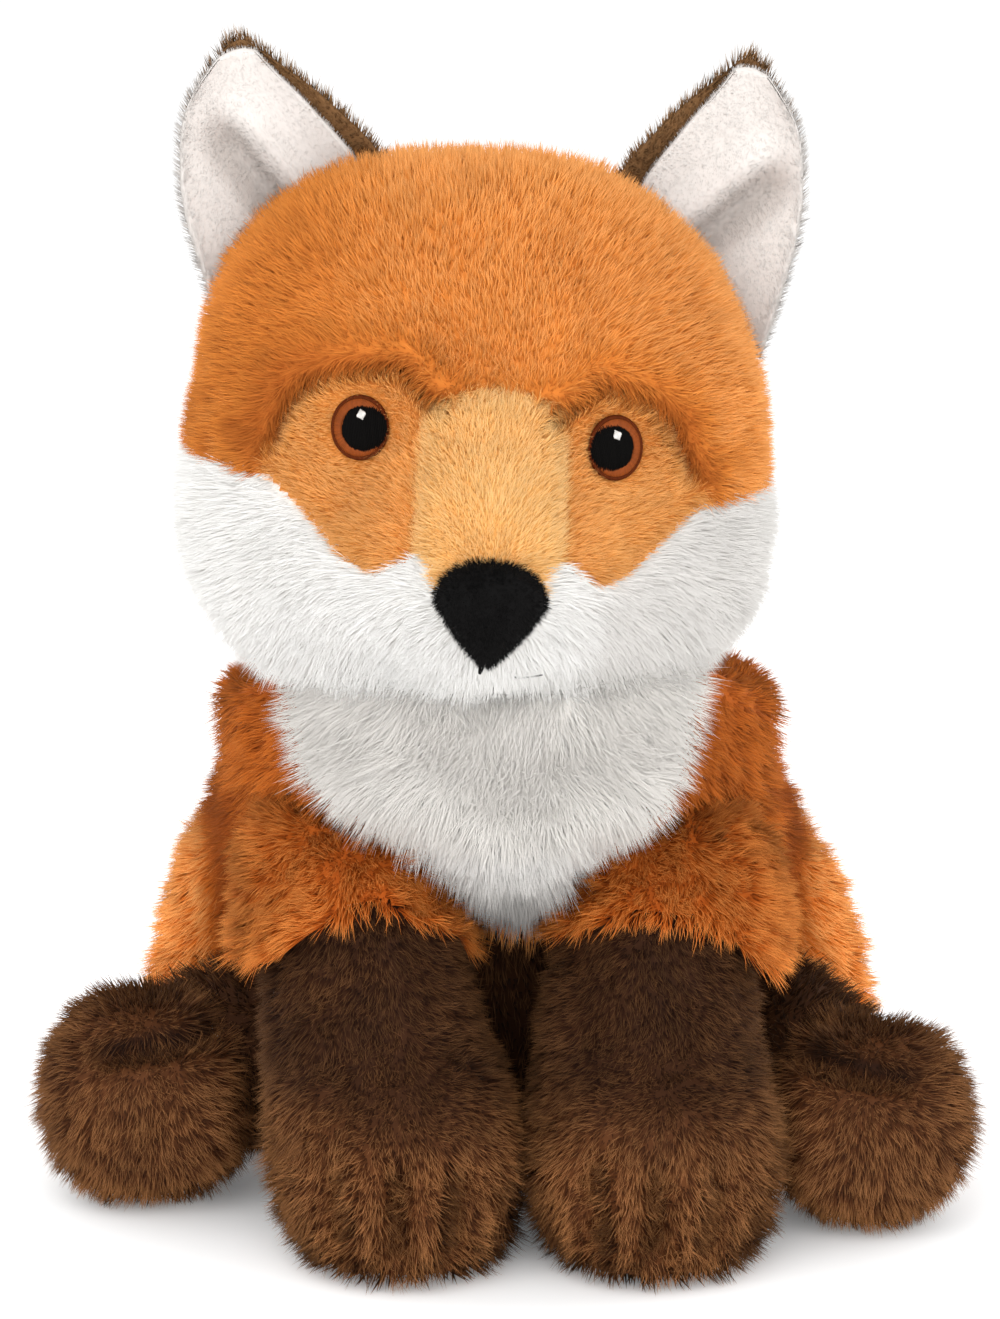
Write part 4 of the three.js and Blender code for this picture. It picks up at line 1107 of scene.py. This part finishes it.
foreleg = {
    "height": 0.116, "halfWidth": 0.033, "halfDepth": 0.031, "forward": 0.042, "pawForward": 0.021,
    "squareness": 4, "sleeveSquareness": 3.2, "meeting": 0.005,
    "toeGap": 0.0165, "toeDent": (0.0070, 0.0026),  # between the toe lines, and depth and half width
    "sock": [  # height, forward, half width, half depth
        (0.98, 0.0, 0.70, 0.74), (0.84, 0.0, 0.78, 0.84), (0.67, 0.18, 0.80, 0.88),
        (0.44, 0.48, 0.89, 0.92), (0.28, 0.76, 0.99, 1.06), (0.12, 0.95, 1.01, 1.12),
        (0.0, 1.0, 1.00, 1.10)],
    "sockMiddle": {-1: (-37.5, -37, -35.6, -32.5, -27.8, -26.2, -26.2),
                   1: (38, 37.8, 37.4, 35.6, 36.2, 36.6, 36.6)},
    "sleeve": [
        (0.48, 0.35, 0.97, 0.98), (0.62, 0.2, 0.98, 1.02), (0.76, 0.1, 0.93, 0.98),
        (0.88, 0.0, 0.84, 0.84), (0.97, -0.1, 0.76, 0.66)],
    "sleeveMiddle": {-1: (-36.5, -36.8, -38.5, -40.5, -40.0), 1: (39.0, 39.5, 40.5, 41.5, 41.0)},
    "hem": {  # across, height of the sleeve's edge
        -1: [(-76, 80), (-70, 76.5), (-62, 75.5), (-55, 79.5), (-47, 86), (-38, 91), (-31, 92.5),
             (-24, 90), (-16, 85), (-11, 80), (-6, 72), (0, 68)],
        1: [(0, 80), (9, 81), (14, 82.5), (22, 87), (33, 89.5), (44, 89.5), (52, 86.5), (58, 81.5),
            (62, 77), (66, 73.5), (70, 76), (77, 86)]},
    "sleevePile": {**bodyPile, "perMm2": 3.7, "width": 0.00029, "length": 0.0062, "swirl": 0.9,
                   "swirlSize": 0.009, "tousle": 0.26, "lift": math.radians(54),
                   "thin": lambda p, n: 1 - 0.5 * (n[:, 1] > 0.2)},
    "sockPile": {**shortPile, "perMm2": 2.2, "length": 0.0050, "uneven": 0.2,
                 "tuft": 0.005, "gather": 0.35, "tousle": 0.18, "swirl": 0.5, "swirlSize": 0.012,
                 "stray": 0.2, "lift": math.radians(52),
                 "thin": lambda p, n: 1 - 0.6 * (n[:, 1] > 0.1)},
}


def forelegRows(shares, middles):
    s = foreleg
    return [(x * mm, -s["forward"] - f * s["pawForward"], h * (s["height"] + 0.0005) - 0.0005,
             w * s["halfWidth"], d * s["halfDepth"]) for (h, f, w, d), x in zip(shares, middles)]


def dressForeleg(side, word):
    s = foreleg
    toes = s["sockMiddle"][side][-1] * mm
    hem = np.array(s["hem"][side]) * mm
    legMiddle = alongRows([(x * mm, h * s["height"]) for (h, *_), x in zip(s["sock"], s["sockMiddle"][side])],
                          np.linspace(0, 1, 30))[::-1]

    def pawDents(p):
        # three stitched toe lines over the front of the paw
        deep, wide = s["toeDent"]
        depth = np.zeros(len(p))
        for k in (-1, 0, 1):
            gap = p[:, 0] - toes - k * s["toeGap"] - 0.12 * k * (p[:, 2] - 0.02)
            depth += deep * bump(gap, wide)
        low = smoothStep(0.038, 0.030, p[:, 2]) * smoothStep(0.002, 0.012, p[:, 2])
        return depth * low * smoothStep(-0.078, -0.090, p[:, 1])

    def skinOf(part, squareness, around, along, dents=None):
        rows = forelegRows(s[part], s[part + "Middle"][side])
        return inFrame(sunken(*tube(rows, (1, 0, 0), squareness, around, along), dents))

    def overHem(p):
        q = onTorso(p)
        return q[:, 2] - np.interp(q[:, 0], hem[:, 0], hem[:, 1])

    def seen(p):
        # its own side of the gap between the legs, and what isn't deep inside the torso
        q = onTorso(p)
        own = side * (q[:, 0] - s["meeting"]) > -0.0005
        return own & ((q[:, 1] < -0.024) | (q[:, 2] < 0.02))

    def sockComb(p, n):
        # down the leg and forward over the paw
        q = onTorso(p)
        middle = np.interp(q[:, 2], legMiddle[:, 1], legMiddle[:, 0])
        paw = smoothStep(0.045, 0.025, q[:, 2])
        return np.stack([(q[:, 0] - middle) * (8 + 20 * paw), -0.8 * paw, -1 + 0.7 * paw], 1)

    def sleeveComb(p, n):
        # down, and outward from the sleeve's middle
        x = onTorso(p)[:, 0]
        middle = s["sleeveMiddle"][side][1] * mm
        return np.stack([(x - middle) * 14 + side * 0.2, -0.15 + 0 * x, -1 + 0 * x], 1)

    def sleeveShade(p):
        # painted light at the lit outer edge, and lighter along the hem
        return (-1.4 * smoothStep(0.060, 0.072, np.abs(onTorso(p)[:, 0]))
                - 0.9 * smoothStep(0.010, 0.002, overHem(p)))

    def sockShade(p):
        # painted shade in the toe lines, and painted light towards the paw, which faces the light
        q = onTorso(p)
        return 260 * pawDents(q) - 3.8 * smoothStep(0.052, 0.026, q[:, 2])

    sleevePile = {**s["sleevePile"], "shade": sleeveShade, "backed": lambda p: overHem(p) > 0.0015,
                  "longer": lambda p: 1 + 0.2 * smoothStep(0.008, 0.001, overHem(p))}
    sockPile = {**s["sockPile"], "shade": sockShade,
                "longer": lambda p: 1 + 0.25 * smoothStep(0.05, 0.03, onTorso(p)[:, 2])}
    body = f"foreleg_{word}"
    filling(f"forelegFilling_{word}", skinOf("sock", s["squareness"], 40, 30, pawDents), body,
            [f"foreleg_stuffing_{word}"], 0.0042)
    obj = coat(f"sleeve_{word}", skinOf("sleeve", s["sleeveSquareness"], 76, 46), sleevePile,
               sleeveComb, lambda p: (overHem(p) > 0) & seen(p), 30 + side)
    dress(obj, "sleevePile", "orange_pile", body, [f"foreleg_sleeve_{word}"])
    obj = coat(f"sock_{word}", skinOf("sock", s["squareness"], 80, 68, pawDents), sockPile,
               sockComb, lambda p: (overHem(p) <= 0.001) & seen(p), 40 + side)
    dress(obj, "brownPile", "brown_pile", body, [f"foreleg_sock_{word}"])


for side, word in sides:
    dressForeleg(side, word)
print("forelegs dressed")


# Hind legs: a short shank out of the body and a round foot

hindleg = {
    "radius": 0.026, "hipApart": 0.058, "hipBack": 0.006, "hipHeight": 0.038,
    "footApart": 0.092, "forward": {-1: 0.015, 1: 0.033}, "size": {-1: 1.0, 1: 0.95},
    "footHalf": (0.029, 0.027, 0.0285), "squareness": 3.6, "footSquareness": 2.3,
    "shares": [(-0.6, 1.08), (0, 1.08), (0.5, 1.0), (1.15, 0.92)],  # of the way to the foot, radius
    "crease": (-0.006, -0.012, 0.019), "creaseDent": (0.0040, 0.0026),  # on the foot; depth, half width
    "footPile": {**foreleg["sockPile"], "length": 0.0060, "thin": lambda p, n: 1 - 0.5 * (n[:, 1] > 0.3)},
}


def dressHindleg(side, word):
    s = hindleg
    size = s["size"][side]
    hip = np.array([torso["aside"] + side * s["hipApart"], s["hipBack"], s["hipHeight"]])
    foot = np.array([side * s["footApart"], -s["forward"][side], size * s["footHalf"][2] - 0.0005])
    rows = [(*(hip + (foot - hip) * a), k * s["radius"], k * s["radius"]) for a, k in s["shares"]]
    a, b, c = s["footHalf"]
    crease = foot + np.array(s["crease"]) * (side, 1, 1)

    def footDents(p):
        # a stitched crease over the front of the foot
        deep, wide = s["creaseDent"]
        q = p - crease
        line = deep * bump(q[:, 2] + 0.15 * side * q[:, 0], wide)
        return line * smoothStep(0.022, 0.012, np.abs(q[:, 0])) * smoothStep(0.002, -0.01, p[:, 1] - foot[1])

    def footSkin(around, along):
        spots, faces = ball(lambda way: boxRadius(way, size * a, b, size * c, s["footSquareness"]),
                            around, along)
        return inFrame(sunken(spots + foot, faces, footDents))

    def shankSkin(around, along):
        return inFrame(sunken(*tube(rows, (0, 0, 1), s["squareness"], around, along)))

    def outsideFoot(p):
        q = (onTorso(p) - foot) / (size * a, b, size * c)
        along = (onTorso(p) - hip) @ unit(foot - hip)
        outside = (np.abs(q) ** s["footSquareness"]).sum(1) > 0.72
        return outside & (along < np.linalg.norm(foot - hip) * 0.75) & (along > -0.012)

    def footComb(p, n):
        # out from the middle of the foot's front and down its sides
        q = onTorso(p) - foot
        return np.stack([q[:, 0] * 25, -0.25 + 0 * q[:, 0], q[:, 2] * 12 - 0.35], 1)

    def shankComb(p, n):
        # along the leg and down
        return np.tile(unit(foot - hip) + (0, 0, -0.4), (len(p), 1))

    body = f"hindleg_{word}"
    filling(f"footFilling_{word}", footSkin(40, 28), body, [f"hindleg_stuffing_{word}"])
    filling(f"shankFilling_{word}", shankSkin(32, 20), body, [])
    # the foot lighter all over, with painted shade in its stitched crease
    footPile = {**s["footPile"], "shade": lambda p: -2.3 + 700 * footDents(onTorso(p))}
    obj = coat(f"foot_{word}", footSkin(66, 46), footPile, footComb,
               lambda p: np.ones(len(p), bool), 60 + side)
    dress(obj, "brownPile", "brown_pile", body, [f"hindleg_foot_{word}"])
    shankPile = {**s["footPile"], "perMm2": 0.8, "width": 0.0005}
    obj = coat(f"shank_{word}", shankSkin(70, 50), shankPile, shankComb, outsideFoot, 70 + side)
    dress(obj, "brownPile", "brown_pile", body, [f"hindleg_shank_{word}"])


for side, word in sides:
    dressHindleg(side, word)
print("hind legs dressed")


# Tail: it lies behind the fox and curls to the right, with a white tip

tail = {
    "radius": 0.025, "length": 0.118, "baseHeight": 0.032, "rest": 0.6, "tip": 0.48, "squareness": 3.2,
    "shares": [  # aside, back, thickness
        (0.0, -0.12, 0.7), (0.03, 0.10, 0.9), (0.22, 0.27, 1.0), (0.48, 0.27, 0.92), (0.72, 0.12, 0.4)],
    "inBody": 0.02,  # how far in front of the torso's back its pile starts
}
rows = [(aside * tail["length"], torso["back"] + back * tail["length"],
         tail["baseHeight"] if i == 0 else max(thick, tail["rest"]) * tail["radius"] - 0.0005,
         thick * tail["radius"], thick * tail["radius"])
        for i, (aside, back, thick) in enumerate(tail["shares"])]
tailLine = alongRows(np.array(rows)[:, :3] + axisAt, np.linspace(0, 1, 40))
tipFrom = tail["length"] * tail["tip"] + axisAt[0]
behind = torso["back"] + axisAt[1] - tail["inBody"]


def tailSkinOf(around, along):
    return inFrame(sunken(*tube(rows, (0, 0, 1), tail["squareness"], around, along)))


def tailComb(p, n):
    # along the middle line of the tail, towards its tip
    ahead = unit(np.gradient(tailLine, axis=0))
    gap = ((p[:, None, :2] - tailLine[None, :, :2]) ** 2).sum(2)
    return ahead[gap.argmin(1)]


def shortInside(p):
    # shorter strands on the side towards the body
    order = np.argsort(tailLine[:, 0])
    middle = np.interp(p[:, 0], tailLine[order, 0], tailLine[order, 1])
    return 1 - 0.45 * smoothStep(-0.002, -0.014, p[:, 1] - middle)


tailPile = {**bodyPile, "perMm2": 1.3, "width": 0.0004, "length": 0.0090, "longer": shortInside,
            "thin": shortPile["thin"], "shade": shortPile["shade"]}
tipPile = {**tailPile, "perMm2": 1.8}
filling("tailFilling", tailSkinOf(32, 40), "tail", ["tail_stuffing"])
tailSkin = tailSkinOf(54, 60)
obj = coat("tailBrush", tailSkin, tailPile, tailComb,
           lambda p: (p[:, 0] < tipFrom) & (p[:, 1] > behind), 81)
dress(obj, "orangePile", "orange_pile", "tail", ["tail_brush"])
obj = coat("tailTip", tailSkin, tipPile, tailComb, lambda p: p[:, 0] >= tipFrom, 82)
dress(obj, "whitePile", "white_pile", "tail", ["tail_tip"])
print("tail dressed")


# Ears: a brown back with a white lining, cupped and folded near the inner edge

ear = {
    "height": 0.0490, "halfBase": {-1: 0.0288, 1: 0.0262}, "cup": 0.010, "rim": 0.007, "tipArc": 0.05,
    "inner": [(-0.95, -0.20), (-0.85, 0.35), (-0.31, 0.71), (0.34, 0.975)],
    "outer": [(0.64, -0.50), (0.82, -0.20), (0.97, 0.10), (1.02, 0.36), (0.945, 0.68), (0.60, 0.975)],
    "backDepth": (0.0006, 0.0026), "liningDepth": (-0.0018, 0.0004),  # of each sheet's two sides
    "fold": {-1: ((0.0185, 0.0315), (0.0018, 0.0084)), 1: ((0.0205, 0.0250), (0.0020, 0.0082))},
    "ridge": (0.0040, -0.0030, 0.0040), "furrow": (0.0036, 0.0048, 0.0046),  # height, place, half width
    "seat": {-1: (-0.678, 0.60, 0.05), 1: (0.686, 0.63, 0.05)},  # in shares of the head's half sizes
    "sunk": 0.006,  # how deep in the head its pile starts
    "backPile": {**shortPile, "perMm2": 2.6, "width": 0.0003, "length": 0.0030,
                 "lift": math.radians(42), "thickness": 0.0005, "tousle": 0.1, "uneven": 0.25,
                 "swirl": 0.15, "gather": 0.2},
    "liningPile": {**shortPile, "length": 0.0011, "perMm2": 4.0, "width": 0.00022, "uneven": 0.12,
                   "tuft": 0.003, "lift": math.radians(40), "thickness": 0.0005, "stray": 0.1,
                   "swirl": 0.15, "gather": 0.0, "tousle": 0.02, "soft": 6.0, "ground": 0.5,
                   "thin": lambda p, n: 1 - 0.97 * (n[:, 1] > 0.2)},
}


def earFlat(u, v):
    # shares of the way between the ear's edges and up them, with a round tip
    a, b = alongRows(ear["inner"], v), alongRows(ear["outer"], v)
    flat = a + (b - a) * u[:, None]
    flat[:, 1] += ear["tipArc"] * np.sin(np.pi * u) * v ** 8
    return flat


def byFold(flat, fold):
    # how far along the fold a point of the flat ear lies, and how far beside it
    start, end = np.array(fold)
    ahead = unit(end - start)
    q = flat - start
    return q @ ahead, q @ np.array([ahead[1], -ahead[0]])


def earSheet(halfBase, fold, uRange, vRange, depths, columns=34, rows=34):
    # the sheet between the ear's two edges, closed between a front and a back depth,
    # and cupped by cup sin(pi u) (1 - v^2)
    s = ear
    u, v = np.meshgrid(np.linspace(*uRange, columns + 1), np.linspace(*vRange, rows + 1))
    u, v = u.ravel(), v.ravel()
    flat = earFlat(u, v)
    # the fold: a ridge that comes forward on one side of its line, a furrow on the other
    far, beside = byFold(flat * (halfBase, s["height"]), fold)
    (high, ridge, wide), (deep, furrow, broad) = s["ridge"], s["furrow"]
    bent = high * bump(beside - ridge, wide) - deep * bump(beside - furrow, broad)
    bent = bent * smoothStep(-0.003, 0.009, far) * smoothStep(0, 0.12, u) * smoothStep(1, 0.85, u)
    hollow = s["cup"] * np.sin(np.pi * u) * (1 - v * v)
    layers = [np.stack([flat[:, 0] * halfBase, hollow + bent + d, flat[:, 1] * s["height"]], 1)
              for d in depths]

    def at(i, j, deep):
        return deep * len(u) + j * (columns + 1) + i

    i, j = (x.ravel() for x in np.meshgrid(np.arange(columns), np.arange(rows)))
    faces = quads(at(i, j, 0), at(i + 1, j, 0), at(i + 1, j + 1, 0), at(i, j + 1, 0))
    faces += quads(at(i, j + 1, 1), at(i + 1, j + 1, 1), at(i + 1, j, 1), at(i, j, 1))
    i, j = np.arange(columns), np.arange(rows)
    faces += quads(at(0, j, 1), at(0, j, 0), at(0, j + 1, 0), at(0, j + 1, 1))
    faces += quads(at(columns, j, 0), at(columns, j, 1), at(columns, j + 1, 1), at(columns, j + 1, 0))
    faces += quads(at(i, 0, 1), at(i + 1, 0, 1), at(i + 1, 0, 0), at(i, 0, 0))
    faces += quads(at(i, rows, 0), at(i + 1, rows, 0), at(i + 1, rows, 1), at(i, rows, 1))
    return np.vstack(layers), np.vstack(faces)


def outsideHead(p):
    # what stands out of the head
    q = inHead(p)
    return np.linalg.norm(q, axis=1) > headRadius(unit(q)) - ear["sunk"]


def dressEar(side, word):
    s = ear
    seat = fromHead(np.array([s["seat"][side]])[:, [0, 2, 1]]
                    * (head["halfWidth"], head["halfDepth"], head["halfHeight"]))[0]
    half, fold = s["halfBase"][side], s["fold"][side]
    liningFrom = s["rim"] / (2 * half) * 1.15

    def placed(sheet):
        spots = sheet[0] * (side, 1, 1) + seat
        faces = facingOut(spots, sheet[1])
        return spots, faces, normalsOf(spots, faces)

    def flatEar(p):
        return ((p - seat) * (side, 1, 1))[:, [0, 2]]

    def sized(u, v):
        return earFlat(u, v) * (half, s["height"])

    v, u = np.linspace(0, 0.935, 12), np.linspace(liningFrom + 0.03, 0.955, 8)
    covered = np.vstack([sized(0 * v + u[0], v), sized(u, 0 * u + v[-1]), sized(0 * v + u[-1], v)[::-1]])
    v = np.linspace(0, 0.86, 12)
    edge = sized(0 * v + 0.985, v)

    def earComb(p, n):
        # up to the tip, and outward over the edges
        x = flatEar(p)[:, 0]
        return np.stack([side * (0.15 + (x - 0.006) * 12), 0 * x, 1 + 0 * x], 1)

    def longEdge(p):
        # longer strands at the lining's outer edge
        return 1 + 1.7 * smoothStep(0.0030, 0.0004, gapToLine(*flatEar(p).T, edge))

    def earThin(p, n):
        # no strands under the lining, fewer behind
        hidden = insideOutline(*flatEar(p).T, covered) & (n[:, 1] < 0)
        return np.where(hidden, 0, 1 - 0.35 * (n[:, 1] > 0.3))

    def foldShade(p):
        # painted shade in the fold and towards the head
        far, beside = byFold(flatEar(p), fold)
        across = smoothStep(0.0020, -0.0012, beside) * smoothStep(-0.0130, -0.0030, beside)
        return 1.8 * across * smoothStep(-0.004, 0.012, far)

    backPile = {**s["backPile"], "thin": earThin,
                "longer": lambda p: 1 + 0.25 * smoothStep(0.038, 0.047, p[:, 2] - seat[2])}
    liningPile = {**s["liningPile"], "longer": longEdge, "shade": foldShade}
    backSkin = placed(earSheet(half, fold, (0.03, 0.95), (0, 0.985), s["backDepth"]))
    liningSkin = placed(earSheet(half, fold, (liningFrom, 0.985), (0, 0.95), s["liningDepth"]))
    obj = coat(f"earBack_{word}", backSkin, backPile, earComb, outsideHead, 90 + side)
    dress(obj, "earPile", "ear_pile", f"ear_{word}", [f"ear_back_{word}"])
    obj = coat(f"earLining_{word}", liningSkin, liningPile, earComb, outsideHead, 95 + side)
    dress(obj, "liningPile", "white_pile", f"ear_{word}", [f"ear_lining_{word}"])


for side, word in sides:
    dressEar(side, word)
print("ears dressed")


# Floor, backdrop and light

studio = {
    "floor": "f6f6f6", "glow": 0.09, "reach": 25, "world": 1.06, "size": 1.2, "aim": (0, 0, 0.13),
    "lamps": [((-0.5, -0.9, 1.2), 6.5), ((0.7, -1.1, 0.6), 4.0), ((0.0, -1.3, 0.10), 11.0),
              ((-1.1, 0.5, 0.6), 5.0), ((1.1, 0.5, 0.6), 5.0)],
}


def addFloor(s):
    # a wide white ground that glows a little to the camera
    mesh = bpy.data.meshes.new("floor")
    r = s["reach"]
    mesh.from_pydata([(-r, -r, 0), (r, -r, 0), (r, r, 0), (-r, r, 0)], [], [(0, 1, 2, 3)])
    floor = bpy.data.objects.new("floor", mesh)
    bpy.context.scene.collection.objects.link(floor)
    material = bpy.data.materials.new("floor")
    material.use_nodes = True
    nodes, links = material.node_tree.nodes, material.node_tree.links
    shader = nodes["Principled BSDF"]
    shader.inputs["Base Color"].default_value = linear(s["floor"])
    shader.inputs["Roughness"].default_value = 0.9
    shader.inputs["Specular IOR Level"].default_value = 0.1
    rays = nodes.new("ShaderNodeLightPath")
    glow = nodes.new("ShaderNodeMath")
    glow.operation = "MULTIPLY"
    glow.inputs[1].default_value = s["glow"]
    links.new(rays.outputs["Is Camera Ray"], glow.inputs[0])
    shader.inputs["Emission Color"].default_value = (1, 1, 1, 1)
    links.new(glow.outputs[0], shader.inputs["Emission Strength"])
    mesh.materials.append(material)


def addWorld(s):
    # light from all around, and plain white to the camera
    world = bpy.data.worlds.new("studio")
    bpy.context.scene.world = world
    world.use_nodes = True
    nodes, links = world.node_tree.nodes, world.node_tree.links
    background = nodes["Background"]
    background.inputs["Color"].default_value = (1, 1, 1, 1)
    background.inputs["Strength"].default_value = s["world"]
    white = nodes.new("ShaderNodeBackground")
    white.inputs["Color"].default_value = (1, 1, 1, 1)
    rays = nodes.new("ShaderNodeLightPath")
    mix = nodes.new("ShaderNodeMixShader")
    links.new(rays.outputs["Is Camera Ray"], mix.inputs[0])
    links.new(background.outputs[0], mix.inputs[1])
    links.new(white.outputs[0], mix.inputs[2])
    links.new(mix.outputs[0], nodes["World Output"].inputs[0])


def addLamps(s):
    for place, power in s["lamps"]:
        light = bpy.data.lights.new("lamp", "AREA")
        light.energy = power
        light.size = s["size"]
        obj = bpy.data.objects.new("lamp", light)
        obj.location = place
        look = Vector(s["aim"]) - obj.location
        obj.rotation_euler = look.to_track_quat("-Z", "Y").to_euler()
        bpy.context.scene.collection.objects.link(obj)


addFloor(studio)
addWorld(studio)
addLamps(studio)
bpy.context.scene.view_settings.view_transform = "Standard"
